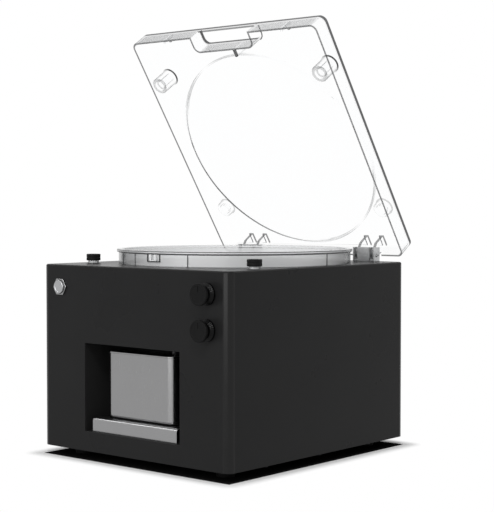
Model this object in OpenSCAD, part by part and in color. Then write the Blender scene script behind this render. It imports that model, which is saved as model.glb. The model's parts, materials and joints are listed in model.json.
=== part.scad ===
// Electric grape peeler: a cabinet with a round tank, a clear hinged lid and a pull-out bin.
// The origin lies on the table under the middle of the cabinet: X right, Y back, Z up.
// The lid is drawn open, as it stands in use while the tank is being filled.

/* [Cabinet] */
// Width of the cabinet, side to side
cabinet_w = 340; // [330:1:400]
// Depth of the cabinet, front to back
cabinet_d = 378; // [366:1:430]
// Height of the cabinet from its lower edge to its top
cabinet_h = 249; // [240:1:300]
// Thickness of the cabinet's sheet
sheet_t = 1.5; // [1:0.1:2]
// Radius of the upright corners
corner_r = 10.5; // [8:0.5:16]
// Radius of the edge round the top
top_edge_r = 2.5; // [1:0.1:4]
// Width of the flange turned in at the cabinet's lower edge
flange_w = 12; // [10:0.5:16]
// Gap between pieces that are seated in one another
seat_gap = 0.1; // [0.05:0.01:0.2]

/* [Base and feet] */
// Height of the cabinet's lower edge above the table
foot_clear = 12; // [9:0.5:20]
// Thickness of the base plate
base_t = 2; // [1.5:0.1:3]
// Gap between the base plate and the walls
base_gap = 0.4; // [0.2:0.1:1]
// Radius of a foot where it stands
foot_r = 12; // [9:0.5:15]
// How much wider a foot is at its seat
foot_flare = 2; // [0:0.5:4]
// Distance from the cabinet's side to a foot's middle
foot_inset_x = 40; // [32:1:60]
// Distance from the cabinet's front or back to a foot's middle
foot_inset_y = 39; // [32:1:60]
// Depth of the pocket for the foot's screw head
foot_pocket = 5; // [4:0.5:7]
// Distance from the cabinet's front or back to the outer base screws
base_screw_inset = 78; // [60:1:100]

/* [Screws] */
// Shank radius of the screws in feet, hinges, motor and housing
screw_r = 2; // [1.5:0.1:2.5]
// Head radius of those screws
screw_head_r = 4; // [3.5:0.1:5]
// Head height of those screws
screw_head_h = 2.6; // [2:0.1:3.2]
// Shank radius of the panel screws
panel_screw_r = 1.7; // [1.4:0.1:2]
// Head radius of the panel screws
panel_head_r = 3.4; // [3:0.1:4]
// Head height of the panel screws
panel_head_h = 2; // [1.6:0.1:2.4]
// Gap round a screw in its hole
screw_gap = 0.15; // [0.1:0.05:0.3]
// How far a screw stands past what it is screwed into
screw_past = 3; // [2:0.5:5]

/* [Front opening and bin] */
// Width of the opening in the front
opening_w = 174; // [160:1:190]
// Height of the opening's sill above the cabinet's lower edge
sill_h = 27; // [24:1:36]
// Thickness of the recess walls
recess_t = 1.5; // [1:0.1:2.5]
// How far the opening's upper edge hangs below the recess ceiling
lintel_drop = 2; // [1:0.5:5]
// Width of the recess's front flange
recess_flange = 8; // [5:0.5:12]
// Gap from the recess to the driven pulley
recess_pulley_gap = 8; // [4:0.5:14]
// Drop from the tank's underside to the recess ceiling
chute_drop = 10; // [8:0.5:16]
// Height of the shelf under the bin
shelf_h = 19; // [14:0.5:24]
// Thickness of the shelf's sheet
shelf_t = 1.5; // [1:0.1:2]
// Radius of the shelf's front bend
shelf_bend_r = 2.5; // [2:0.1:4]
// Gap beside the shelf
shelf_side_gap = 10; // [6:0.5:16]
// Distance from the cabinet's front to the shelf
shelf_inset = 5; // [3:0.5:10]
// Gap beside the bin
bin_side_gap = 26.5; // [18:0.5:34]
// Distance from the cabinet's front to the bin
bin_inset = 15; // [12:0.5:24]
// Gap behind the bin
bin_back_gap = 4; // [2:0.5:8]
// Gap from the bin's rim to the opening's upper edge
bin_top_gap = 10; // [7:0.5:16]
// Gap between the bin and its shelf
bin_slide_gap = 0.3; // [0.2:0.1:0.5]
// Thickness of the bin's walls
bin_t = 1.2; // [0.8:0.1:2]
// Radius of the bin's upright corners
bin_r = 10; // [7:0.5:14]
// Radius of the bin's lower edge
bin_edge_r = 5; // [3:0.5:6]
// Width of the lip round the bin's rim
bin_lip = 1; // [0.5:0.1:2]
// Height of that lip
bin_lip_h = 2; // [1:0.1:3]

/* [Tank and collar] */
// Depth of the tank below the cabinet's top
tank_depth = 89; // [78:1:96]
// Thickness of the tank's sheet
tank_t = 1.2; // [0.8:0.1:2]
// Width of the tank's flange on the cabinet's top
tank_flange_w = 6; // [4:0.5:9]
// Gap round the tank in the cabinet's top
tank_hole_gap = 0.3; // [0.2:0.1:1]
// Height of the collar above the cabinet's top
collar_h = 20; // [18:0.5:24]
// Thickness of the collar's wall
collar_t = 3; // [2:0.1:4]
// Thickness of the collar's rim
rim_t = 4; // [3:0.1:5]
// How far the rim stands out past the wall
rim_overhang = 2.5; // [1.5:0.1:4]
// How far the rim stands in past the wall
rim_inhang = 2; // [1:0.1:4]
// Gap between the rim and the closed lid's skirt
rim_gap = 1.5; // [1:0.1:3]
// Width of the seal between tank flange and collar
seal_w = 1.6; // [1:0.1:2.5]
// Height of that seal
seal_h = 3; // [2:0.1:5]
// Width of the upright ribs on the collar
rib_w = 1.2; // [0.8:0.1:2]
// How far those ribs stand out
rib_out = 0.8; // [0.4:0.1:1.2]
// Width of the latch keeper on the collar's front
keeper_w = 13; // [10:0.5:18]
// Height of the latch keeper
keeper_h = 9; // [7:0.5:11]
// How far the latch keeper stands out
keeper_out = 2.2; // [1.6:0.1:2.4]
// Width of the slot in the latch keeper
keeper_slot_w = 5; // [4:0.5:7]
// Height of the latch keeper's floor under its slot
keeper_floor = 2.2; // [1.5:0.1:3]
// Thickness of the sleeve that lines the tank
sleeve_t = 2; // [1.5:0.1:3]
// Distance from the sleeve to the cabinet's top, and to the disc
sleeve_margin = 7; // [5:0.5:10]
// Radius of the port in the tank's floor
port_r = 22; // [18:0.5:26]
// Distance from the tank's wall to the middle of the port
port_inset = 38.5; // [34.5:0.5:46.5]
// Thickness of the chute's wall
chute_t = 1.5; // [1:0.1:2]
// Width of the chute's flange
chute_flange_w = 6.5; // [5:0.5:10]
// Thickness of the chute's flange
chute_flange_t = 2; // [1.5:0.1:3]

/* [Lid] */
// How far the lid stands back from the cabinet's sides
lid_inset_x = 1; // [0.5:0.1:3]
// How far the lid stands back from the cabinet's front and back
lid_inset_y = 3; // [2:0.5:5]
// Thickness of the lid's plate
lid_t = 4; // [3:0.1:5]
// Height of the lid, plate and skirt
lid_h = 29; // [26:0.5:34]
// Gap between the cabinet's top and the closed lid's skirt
lid_lift = 15; // [14.5:0.5:18]
// Thickness of the lid's skirt
skirt_t = 2.5; // [2:0.1:3.5]
// Radius of the lid's corners
lid_r = 10; // [7:0.5:16]
// Width of the finger notch in the lid's front
notch_w = 104; // [80:1:130]
// Depth of the finger notch
notch_d = 23; // [16:0.5:26]
// Radius of the notch's inner corners
notch_r = 8; // [5:0.5:12]
// Height of the grip bar across the notch's mouth
grip_h = 10; // [5:0.5:12]
// Outer radius of the bosses under the lid
boss_r = 10.5; // [8:0.5:11]
// Inner radius of those bosses
boss_bore_r = 7; // [5:0.5:7]
// Height of the two short rear bosses
boss_rear_h = 10; // [6:0.5:14]
// Distance from the lid's back edge to the rear bosses
boss_rear_inset = 70; // [60:1:84]
// Gap between a front boss and its bumper when the lid is closed
boss_gap = 0.4; // [0.3:0.1:1]
// Height of the round ridge under the lid
ridge_h = 7; // [2:0.5:9]
// Thickness of that ridge
ridge_t = 2; // [1.5:0.1:3]
// Distance from the collar's wall in to the ridge
ridge_in = 2; // [1:0.5:9]
// Thickness of the latch fin behind the notch
fin_t = 3.5; // [2.5:0.1:5]
// Distance of the latch fin from the middle
fin_x = 16; // [8:1:30]
// Gap beside a hinge bracket in the lid's skirt
skirt_cut_side = 2; // [1:0.5:4]
// Gap above a hinge bracket in the lid's skirt
skirt_cut_rise = 4; // [2:0.5:5]
// How far the lid is open at rest, in degrees
lid_rest_deg = 56; // [30:1:80]

/* [Hinge] */
// Distance from the cabinet's side to a hinge's middle
hinge_inset_x = 60; // [50:1:70]
// Distance from the cabinet's back to the hinge axis
hinge_inset = 9; // [8:0.5:12]
// Height of the hinge axis above the cabinet's top
hinge_h = 8; // [7.5:0.5:9]
// Radius of a hinge pin
hinge_pin_r = 2; // [1.5:0.1:2.5]
// Running gap round a hinge pin
hinge_gap = 0.05; // [0.03:0.01:0.1]
// How far a hinge pin stands out of its bracket
hinge_pin_past = 1.5; // [1:0.1:3]
// Thickness of a hinge lug
lug_t = 5; // [4:0.5:6]
// Gap beside a lug in its slot
lug_gap = 0.3; // [0.2:0.1:0.6]
// Distance between the two lugs of a hinge
lug_pitch = 27; // [24:0.5:30]
// Radius of a lug's eye
lug_r = 5; // [4.5:0.1:5.6]
// How far a lug reaches forward along the lid
lug_reach = 12; // [10:0.5:22]
// Radius of a lug's nose
lug_nose_r = 4; // [3:0.5:5]
// Thickness of a bracket's outer cheeks
cheek_t = 2.5; // [2:0.1:4]
// Depth of a bracket, front to back
bracket_d = 14; // [12:0.5:15]
// Height of a bracket
bracket_h = 20; // [18:0.5:21]
// Thickness of a bracket's sole
bracket_sole = 2; // [1.5:0.1:2.2]
// Distance between a bracket's two screws
hinge_screw_pitch = 12; // [10:0.5:14]
// Depth of a screw hole in a bracket
hinge_screw_deep = 3.5; // [3:0.1:4]

/* [Bumpers] */
// Distance from the cabinet's side to a bumper
bumper_inset_x = 22; // [20:0.5:26]
// Distance from the cabinet's front to a bumper
bumper_inset_y = 74; // [60:1:84]
// Radius of a bumper's cap
bumper_r = 9.8; // [8:0.1:11]
// Height of a bumper's cap
bumper_h = 9; // [7:0.5:10]
// Bevel round a bumper's cap
bumper_bevel = 0.8; // [0.4:0.1:1.5]
// Height of a bumper's post above the cabinet's top
post_h = 3.2; // [2:0.1:4]
// Radius of that post
post_r = 7.5; // [6:0.5:8]
// Radius of the post's stud
stud_r = 2.5; // [2:0.1:3]
// Length of the post's stud below the cabinet's top
stud_h = 7; // [5:0.5:10]

/* [Controls] */
// Distance from the cabinet's sides to the controls
control_inset = 36; // [30:0.5:42]
// Distance from the cabinet's top to the upper knob
knob_drop = 29; // [24:0.5:36]
// Distance between the two knobs
knob_pitch = 45; // [38:0.5:52]
// Radius of a knob
knob_r = 14.2; // [12:0.1:16]
// How far a knob stands out of the front
knob_h = 17.3; // [16.5:0.1:20]
// Gap behind a knob
knob_gap = 0.8; // [0.5:0.1:1.2]
// Height of the flanges at a knob's front and back
knob_flange_h = 3.8; // [3:0.1:4.5]
// How far a knob's waist stands back from its flanges
knob_waist_in = 1; // [0.6:0.1:1.6]
// Bevel round a knob's face
knob_bevel = 1; // [0.5:0.1:1.5]
// Number of grooves round a knob's waist
knob_grooves = 30; // [18:1:36]
// Radius of those grooves
knob_groove_r = 0.7; // [0.4:0.1:0.9]
// Width of the pointer line in a knob's face
pointer_w = 1.6; // [1:0.1:2.4]
// Depth of the pointer line
pointer_deep = 0.6; // [0.4:0.1:1]
// Length of the pointer line, from the knob's edge in
pointer_l = 9.5; // [6:0.5:11]
// Radius of a control shaft
pot_shaft_r = 3; // [2.5:0.1:3.2]
// Radius of a control's threaded bush
bush_r = 4.2; // [4:0.1:5]
// How far the bush stands out of the front
bush_h = 4; // [3:0.1:4.5]
// Radius of a control's body
pot_r = 8.3; // [7:0.1:11]
// Depth of a control's body
pot_h = 12; // [9:0.5:16]
// Width across flats of a control's nut
pot_nut_af = 12; // [11:0.5:13]
// Height of a control's nut
pot_nut_h = 2.2; // [1.8:0.1:2.6]
// Play between moving control pieces
control_gap = 0.3; // [0.2:0.05:0.4]
// Running gap round a control shaft
shaft_gap = 0.05; // [0.03:0.01:0.1]
// Distance from the cabinet's top to the button
button_drop = 30; // [24:0.5:36]
// Width across flats of the button's hexagonal bezel
bezel_af = 21.5; // [21.5:0.1:26]
// Height of the bezel
bezel_h = 2.6; // [2:0.1:4]
// Radius of the button's cap
button_r = 9; // [7.5:0.1:9]
// How far the cap stands out of the front
button_h = 5; // [4.5:0.1:6]
// Bevel round the cap
button_bevel = 0.7; // [0.3:0.1:1]
// How far the cap travels
button_travel = 2; // [1.5:0.1:2]
// Radius of the cap's stem
stem_r = 4; // [3:0.1:5]
// Length of the stem behind the front
stem_h = 8; // [6:0.5:10]
// Wall round the button's body
button_wall = 0.8; // [0.6:0.1:1.2]
// Depth of the button's body
button_body_h = 26; // [22:0.5:34]
// Height of the nut behind the front
button_nut_h = 3.5; // [3:0.1:5]
// Width of the nut's ring past the body
button_nut_w = 3; // [2:0.1:4]

/* [Disc and drive] */
// Gap between the disc and the sleeve
disc_gap = 3; // [2:0.5:5]
// Thickness of the disc
disc_t = 4; // [3:0.1:6]
// Height of the disc above the tank's floor
disc_rise = 9; // [8:0.5:12]
// Radius of the holes through the disc
disc_hole_r = 3; // [2:0.1:4]
// Number of rings of holes
disc_hole_rings = 4; // [2:1:5]
// Number of holes in the innermost ring
disc_hole_count = 12; // [8:1:14]
// Holes that each further ring gains
disc_hole_gain = 8; // [4:1:8]
// Radius of the innermost ring of holes
disc_hole_first = 46; // [40:1:52]
// Distance from the disc's edge to the outermost ring of holes
disc_hole_edge = 12; // [9:0.5:16]
// Number of ribs on the disc
disc_ribs = 6; // [3:1:9]
// Height of those ribs
disc_rib_h = 3; // [2:0.1:5]
// Width of those ribs
disc_rib_w = 5; // [3:0.5:8]
// Distance from the cap to the ribs
disc_rib_in = 4; // [2:0.5:8]
// Distance from the disc's edge to the ribs
disc_rib_out = 8; // [4:0.5:12]
// Radius of the hub under the disc
hub_r = 20; // [16:0.5:24]
// Gap between the hub or wipers and the tank's floor
wiper_gap = 0.8; // [0.5:0.1:2]
// Thickness of a wiper
wiper_t = 3; // [2:0.1:5]
// Distance from the disc's edge to a wiper's end
wiper_end = 6; // [3:0.5:10]
// Radius of the cap on the disc
cap_r = 18; // [14:0.5:22]
// Height of the cap on the disc
cap_h = 16; // [14:0.5:22]
// Wall of the cap round the shaft at its crown
cap_wall = 3; // [2:0.1:5]
// Height of the cap's brim
cap_brim_h = 4; // [2:0.5:6]
// Bevel round the cap's crown
cap_bevel = 2; // [1:0.1:3]
// How far the shaft reaches into the cap
shaft_in_cap = 9; // [7:0.5:11]
// Radius of the main shaft
shaft_r = 7.5; // [6:0.1:9]
// Running gap round the shafts
run_gap = 0.04; // [0.02:0.01:0.08]
// Outer radius of the bearings
bearing_r = 16; // [14:0.5:18]
// Height of a bearing
bearing_h = 9; // [7:0.5:11]
// Height of the shaft seal
shaft_seal_h = 7; // [5:0.5:8]
// Wall round the bearings
housing_wall = 7; // [5:0.5:10]
// Length of the bearing housing
housing_h = 51; // [44:0.5:52]
// Radius of the housing's flange
housing_flange_r = 44; // [40:0.5:48]
// Thickness of the housing's flange
housing_flange_t = 6; // [4:0.5:8]
// Radius of the circle of housing bolts
housing_bolt_circle_r = 33; // [31:0.5:35]
// Radius of the driven pulley under the belt
driven_r = 48; // [40:0.5:54]
// Radius of the motor pulley under the belt
drive_r = 16; // [13:0.5:20]
// Height of a pulley's flanges past the belt seat
pulley_flange = 3.2; // [2:0.1:5]
// Thickness of a pulley's flanges
pulley_flange_t = 2; // [1.5:0.1:3]
// Width of the belt
belt_w = 9; // [7:0.5:12]
// Thickness of the belt
belt_t = 2.5; // [2:0.1:3]
// Play of the belt on its pulleys
belt_gap = 0.4; // [0.3:0.1:0.6]
// Distance between the two pulley axes
belt_span = 107; // [104:1:112]
// Gap between the bearing housing and its pulley
pulley_gap = 1; // [0.6:0.1:3]
// Radius of the motor
motor_r = 45; // [38:0.5:48]
// Height of the motor
motor_h = 62; // [50:0.5:66]
// Gap between the motor and its pulley
motor_pulley_gap = 1; // [0.6:0.1:4]
// Height of the motor's boss round its shaft
motor_boss_h = 5; // [3:0.5:7]
// Radius of that boss
motor_boss_r = 18; // [12:0.5:22]
// Radius of the motor's shaft
motor_shaft_r = 5; // [4:0.1:6]
// How far the motor's shaft reaches into the motor
motor_shaft_in = 30; // [20:1:40]
// Wall of the motor's stand
stand_t = 3; // [2:0.1:5]
// Width of the stand's foot
stand_foot_w = 12; // [10:0.5:16]
// Gap between the foot of the motor's stand and the cabinet's back
stand_wall_gap = 3.5; // [2:0.5:8]
// Least height of the motor's stand, under a tank that is too deep for its cabinet
stand_least = 12; // [8:0.5:12]

/* [Electrics] */
// Width of the control board, along the cabinet's side
board_w = 110; // [80:1:130]
// Height of the control board
board_h = 76; // [60:1:86]
// Thickness of the control board
board_t = 1.6; // [1.2:0.1:2]
// Height of the board's middle above the cabinet's lower edge
board_z = 86; // [76:1:90]
// Distance from the cabinet's middle back to the board's middle
board_y = -40; // [-60:1:-20]
// Length of the board's standoffs
standoff_h = 10; // [6:0.5:14]
// Radius of the board's standoffs
standoff_r = 3; // [2.5:0.1:4]
// Distance from the board's edges to its standoffs
standoff_inset = 6; // [5:0.5:8]
// Height of the transformer on the board
transformer_h = 24; // [16:1:30]
// Height of the relay on the board
relay_h = 20; // [12:1:26]
// Radius of the two capacitors on the board
capacitor_r = 5; // [3:0.5:5]
// Height of those capacitors
capacitor_h = 18; // [10:1:24]
// Height of the row of terminals on the board
terminal_h = 9; // [6:0.5:14]
// Width of the rear panel
rear_w = 270; // [240:1:290]
// Height of the rear panel
rear_h = 190; // [180:1:200]
// Thickness of the rear panel
rear_t = 1.5; // [1:0.1:2]
// Height of the rear panel's lower edge above the cabinet's lower edge
rear_z = 26; // [20:1:30]
// How far the rear panel laps over the cabinet's back
rear_lap = 14; // [10:0.5:18]
// Distance from the rear panel's upper edge to the uppermost vents
vent_drop = 44; // [30:1:60]
// Distance between groups of vents
vent_group_gap = 12; // [8:1:16]
// Number of vents in each group in the rear panel
vent_count = 9; // [5:1:10]
// Length of a vent
vent_l = 46; // [30:1:56]
// Width of a vent
vent_w = 3; // [2:0.1:4]
// Distance between vents
vent_pitch = 8; // [7:0.5:9]
// Width of the power inlet's face
inlet_w = 48; // [44:0.5:52]
// Height of the power inlet's face
inlet_h = 28; // [26:0.5:32]
// Thickness of the power inlet's face
inlet_face_t = 3; // [2:0.1:4]
// Depth of the power inlet behind its face
inlet_deep = 24; // [20:0.5:30]
// Width of the inlet's socket
socket_w = 24.2; // [23:0.1:26]
// Height of the inlet's socket
socket_h = 16.4; // [15.5:0.1:18]
// Depth of the inlet's socket
socket_deep = 17; // [14:0.5:20]
// Wall round the inlet's socket
socket_wall = 2; // [1.5:0.1:3]
// Thickness of a pin in the socket
pin_t = 2; // [1.5:0.1:2.5]
// Height of a pin in the socket
pin_h = 4; // [3:0.1:5]
// How far the pins stand back from the socket's mouth
pin_inset = 3; // [2:0.5:5]
// Distance between neighbouring pins
pin_pitch = 7; // [6:0.1:8]
// Height of the outer pins above the socket's middle
pin_rise = 1.5; // [0:0.1:2.5]
// Drop of the middle pin below the socket's middle
pin_drop = 3; // [2:0.1:4]
// Distance of the inlet from the rear panel's edge
inlet_inset = 52; // [46:1:60]
// Height of the inlet above the rear panel's lower edge
inlet_z = 40; // [34:1:60]

/* [Hidden] */
$fn = 64;

// Overshoot of cuts past the faces that they open
cut = 1;

// Cabinet levels and faces
top_z = foot_clear + cabinet_h;
front_y = -cabinet_d / 2;
back_y = cabinet_d / 2;
base_z = foot_clear + sheet_t;
base_top = base_z + base_t;
inner_top = top_z - sheet_t;

// Lid and collar, outside in
lid_w = cabinet_w - 2 * lid_inset_x;
lid_l = cabinet_d - 2 * lid_inset_y;
lid_low = top_z + lid_lift;
lid_top = lid_low + lid_h;
plate_low = lid_top - lid_t;
stand_r = motor_r + stand_t;
tank_y = back_y - sheet_t - stand_wall_gap - stand_r - stand_foot_w - belt_span;
rim_r = min(lid_w / 2, lid_l / 2 - tank_y) - skirt_t - rim_gap;
collar_r = rim_r - rim_overhang;
collar_in_r = collar_r - collar_t;
tank_flange_r = collar_in_r - seal_w - 2 * seat_gap;
tank_r = tank_flange_r - tank_flange_w;
tank_in_r = tank_r - tank_t;
sleeve_in_r = tank_in_r - seat_gap - sleeve_t;
disc_r = sleeve_in_r - disc_gap;
rib_angles = [-118, -104, -71, 0, 180];
bolt_angles = [45, 135, 225, 315];
wiper_angles = [15, 195];

// Levels under the tank
pulley_h = belt_w + 2 * belt_gap + 2 * pulley_flange_t;
drive_h = motor_h + motor_boss_h + motor_pulley_gap + pulley_h + pulley_gap + housing_h;
floor_z = max(top_z - tank_depth, base_top + stand_least + drive_h + tank_t);
tank_low = floor_z - tank_t;
housing_low = tank_low - housing_h;
pulley_low = housing_low - pulley_gap - pulley_h;
motor_top = pulley_low - motor_pulley_gap;
motor_low = motor_top - motor_boss_h - motor_h;
motor_y = tank_y + belt_span;
disc_low = floor_z + disc_rise;
disc_top = disc_low + disc_t;

// Recess, shelf and bin
sill_z = foot_clear + sill_h;
ceiling_z = tank_low - chute_drop - recess_t;
opening_top = ceiling_z - lintel_drop;
recess_back = tank_y - driven_r - pulley_flange - recess_pulley_gap;
recess_in_back = recess_back - recess_t;
recess_front = front_y + sheet_t;
shelf_top = sill_z + shelf_h;
shelf_half = opening_w / 2 - shelf_side_gap;
shelf_front = front_y + shelf_inset;
bin_w = opening_w - 2 * bin_side_gap;
bin_front = front_y + bin_inset;
bin_l = recess_in_back - bin_back_gap - bin_front;
bin_low = shelf_top + bin_slide_gap;
bin_h = opening_top - bin_top_gap - bin_low;
port_y = tank_y - tank_in_r + port_inset;
chute_r = port_r + chute_t;

// Hinges
hinge_x = cabinet_w / 2 - hinge_inset_x;
hinge_y = back_y - hinge_inset;
hinge_z = top_z + hinge_h;
bracket_w = lug_pitch + lug_t + 2 * lug_gap + 2 * cheek_t;
lug_h = plate_low - hinge_z;
skirt_cut_h = bracket_h - lid_lift + skirt_cut_rise;

// Bumpers
bumper_x = cabinet_w / 2 - bumper_inset_x;
bumper_y = front_y + bumper_inset_y;
bumper_top = top_z + post_h + bumper_h;

// Controls
control_x = cabinet_w / 2 - control_inset;
speed_z = top_z - knob_drop;
timer_z = speed_z - knob_pitch;
button_z = top_z - button_drop;
button_bore_r = button_r + control_gap;
button_body_r = button_bore_r + button_wall;
nut_pocket_r = pot_nut_af / sqrt(3) + control_gap;
nut_pocket_h = bush_h + control_gap;

// Rear panel and inlet
rear_low = foot_clear + rear_z;
inlet_x = rear_w / 2 - inlet_inset;
inlet_mid = rear_low + inlet_z;
rear_screw_x = [-1, 0, 1] * (rear_w / 2 - rear_lap / 2);
rear_screw_z = [rear_low + rear_lap / 2, rear_low + rear_h - rear_lap / 2];

// Places of repeated pieces
foot_x = cabinet_w / 2 - foot_inset_x;
foot_y = cabinet_d / 2 - foot_inset_y;
base_screw_x = cabinet_w / 2 - sheet_t - flange_w / 2;
base_screw_y = [-1, 0, 1] * (cabinet_d / 2 - base_screw_inset);
stand_bolt_r = stand_r + stand_foot_w / 2;

// Flat shape with round corners, made of squares and circles
module rounded_rect(w, d, r) {
  square([w - 2 * r, d], center = true);
  square([w, d - 2 * r], center = true);
  for (sx = [-1, 1], sy = [-1, 1])
    translate([sx * (w / 2 - r), sy * (d / 2 - r)]) circle(r = r);
}

// Section of a wall of width r whose upper outer edge is rounded by f
module edge_profile(r, h, f) {
  square([r, h - f]);
  square([r - f, h]);
  translate([r - f, h - f]) circle(r = f);
}

// Block with round upright corners r and a rounded upper edge f
module soft_block(w, d, h, r, f) {
  translate([-w / 2 + r, -d / 2 + r, 0]) cube([w - 2 * r, d - 2 * r, h]);
  for (turn = [0, 180]) rotate([0, 0, turn]) {
    translate([w / 2 - r, d / 2 - r, 0])
      rotate([90, 0, 0]) linear_extrude(d - 2 * r) edge_profile(r, h, f);
    translate([-w / 2 + r, d / 2 - r, 0])
      rotate([90, 0, 90]) linear_extrude(w - 2 * r) edge_profile(r, h, f);
    translate([w / 2 - r, d / 2 - r, 0]) rotate_extrude(angle = 90) edge_profile(r, h, f);
    translate([-w / 2 + r, d / 2 - r, 0])
      rotate([0, 0, 90]) rotate_extrude(angle = 90) edge_profile(r, h, f);
  }
}

// Ring standing on the XY plane
module ring(outer_r, inner_r, h) {
  difference() {
    cylinder(r = outer_r, h = h);
    translate([0, 0, -cut]) cylinder(r = inner_r, h = h + 2 * cut);
  }
}

// Screw with its head's seat at z = 0, its shank up and its head down
module screw(shank_r, head_r, head_h, length) {
  cylinder(r = shank_r, h = length);
  translate([0, 0, -head_h]) cylinder(r = head_r, h = head_h);
}

// Turns a piece drawn upwards so that it stands out of the front at x, z
module on_front(x, z) {
  translate([x, front_y, z]) rotate([90, 0, 0]) children();
}

// Cabinet, base and feet
module cabinet_shell() {
  flange_in = sheet_t + flange_w;
  color("#2b2b2b") difference() {
    translate([0, 0, foot_clear])
      soft_block(cabinet_w, cabinet_d, cabinet_h, corner_r, top_edge_r);
    translate([0, 0, base_z]) linear_extrude(cabinet_h - 2 * sheet_t)
      rounded_rect(cabinet_w - 2 * sheet_t, cabinet_d - 2 * sheet_t, corner_r - sheet_t);
    translate([0, 0, foot_clear - cut]) linear_extrude(sheet_t + 2 * cut)
      rounded_rect(cabinet_w - 2 * flange_in, cabinet_d - 2 * flange_in, corner_r / 2);
    translate([0, tank_y, inner_top - cut]) cylinder(r = tank_r + tank_hole_gap, h = sheet_t + 2 * cut);
    translate([-opening_w / 2, front_y - cut, sill_z])
      cube([opening_w, sheet_t + 2 * cut, opening_top - sill_z]);
    for (z = [speed_z, timer_z]) on_front(control_x, z)
      translate([0, 0, -sheet_t - cut]) cylinder(r = bush_r + seat_gap, h = sheet_t + 2 * cut);
    on_front(-control_x, button_z)
      translate([0, 0, -sheet_t - cut]) cylinder(r = button_body_r + seat_gap, h = sheet_t + 2 * cut);
    for (side = [-1, 1]) {
      translate([side * bumper_x, bumper_y, inner_top - cut])
        cylinder(r = stud_r + seat_gap, h = sheet_t + 2 * cut);
      for (s = [-0.5, 0.5])
        translate([side * hinge_x + s * hinge_screw_pitch, hinge_y, inner_top - cut])
          cylinder(r = screw_r + screw_gap, h = sheet_t + 2 * cut);
      for (y = base_screw_y) translate([side * base_screw_x, y, foot_clear - cut])
        cylinder(r = panel_screw_r + screw_gap, h = sheet_t + 2 * cut);
    }
    translate([-rear_w / 2 + rear_lap, back_y - sheet_t - cut, rear_low + rear_lap])
      cube([rear_w - 2 * rear_lap, sheet_t + 2 * cut, rear_h - 2 * rear_lap]);
    for (x = rear_screw_x, z = rear_screw_z) translate([x, back_y - sheet_t - cut, z])
      rotate([-90, 0, 0]) cylinder(r = panel_screw_r + screw_gap, h = sheet_t + 2 * cut);
  }
}

module base_plate() {
  inner_w = cabinet_w - 2 * (sheet_t + base_gap);
  inner_d = cabinet_d - 2 * (sheet_t + base_gap);
  color("#8a8d90") translate([0, 0, base_z]) difference() {
    linear_extrude(base_t) rounded_rect(inner_w, inner_d, corner_r - sheet_t);
    for (sx = [-1, 1], sy = [-1, 1]) translate([sx * foot_x, sy * foot_y, -cut])
      cylinder(r = screw_r + screw_gap, h = base_t + 2 * cut);
    for (side = [-1, 1], y = base_screw_y) translate([side * base_screw_x, y, -cut])
      cylinder(r = panel_screw_r + screw_gap, h = base_t + 2 * cut);
    for (a = bolt_angles) translate([0, motor_y, -cut]) rotate([0, 0, a])
      translate([stand_bolt_r, 0, 0]) cylinder(r = screw_r + screw_gap, h = base_t + 2 * cut);
  }
}

module base_screws() {
  color("silver") for (side = [-1, 1], y = base_screw_y)
    translate([side * base_screw_x, y, foot_clear])
      screw(panel_screw_r, panel_head_r, panel_head_h, sheet_t + base_t + screw_past);
}

module foot(sx, sy) {
  color("#161616") translate([sx * foot_x, sy * foot_y, 0]) difference() {
    cylinder(r1 = foot_r, r2 = foot_r + foot_flare, h = base_z);
    translate([0, 0, -cut]) cylinder(r = screw_head_r + 2 * screw_gap, h = foot_pocket + cut);
    cylinder(r = screw_r + screw_gap, h = base_z + cut);
  }
}

module foot_screws() {
  color("silver") for (sx = [-1, 1], sy = [-1, 1]) translate([sx * foot_x, sy * foot_y, foot_pocket])
    screw(screw_r, screw_head_r, screw_head_h, base_top - foot_pocket + screw_past);
}

// Rear panel and power inlet
module rear_panel() {
  vent_rows = [for (i = [0 : vent_count - 1]) rear_low + rear_h - vent_drop - i * vent_pitch];
  color("#262626") difference() {
    translate([-rear_w / 2, back_y, rear_low]) cube([rear_w, rear_t, rear_h]);
    for (x = [-2, -1, 0, 1]) for (z = vent_rows)
      translate([(x + 0.5) * (vent_l + vent_group_gap) - vent_l / 2, back_y - cut, z])
        cube([vent_l, rear_t + 2 * cut, vent_w]);
    translate([inlet_x - socket_w / 2 - socket_wall - seat_gap, back_y - cut,
      inlet_mid - socket_h / 2 - socket_wall - seat_gap])
      cube([socket_w + 2 * (socket_wall + seat_gap), rear_t + 2 * cut,
        socket_h + 2 * (socket_wall + seat_gap)]);
    for (x = rear_screw_x, z = rear_screw_z) translate([x, back_y - cut, z])
      rotate([-90, 0, 0]) cylinder(r = panel_screw_r + screw_gap, h = rear_t + 2 * cut);
  }
}

module rear_screws() {
  color("silver") for (x = rear_screw_x, z = rear_screw_z) translate([x, back_y + rear_t, z])
    rotate([90, 0, 0]) screw(panel_screw_r, panel_head_r, panel_head_h, rear_t + sheet_t + screw_past);
}

module power_inlet() {
  body_w = socket_w + 2 * socket_wall;
  body_h = socket_h + 2 * socket_wall;
  face_y = back_y + rear_t;
  pins = [[-pin_pitch, pin_rise], [0, -pin_drop], [pin_pitch, pin_rise]];
  color("#1a1a1a") translate([inlet_x, face_y, inlet_mid]) {
    difference() {
      union() {
        translate([-inlet_w / 2, 0, -inlet_h / 2]) cube([inlet_w, inlet_face_t, inlet_h]);
        translate([-body_w / 2, -inlet_deep, -body_h / 2]) cube([body_w, inlet_deep, body_h]);
      }
      translate([-socket_w / 2, inlet_face_t - socket_deep, -socket_h / 2])
        cube([socket_w, socket_deep + cut, socket_h]);
    }
    for (pin = pins) translate([pin[0] - pin_t / 2, inlet_face_t - socket_deep, pin[1] - pin_h / 2])
      cube([pin_t, socket_deep - pin_inset, pin_h]);
  }
}

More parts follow.
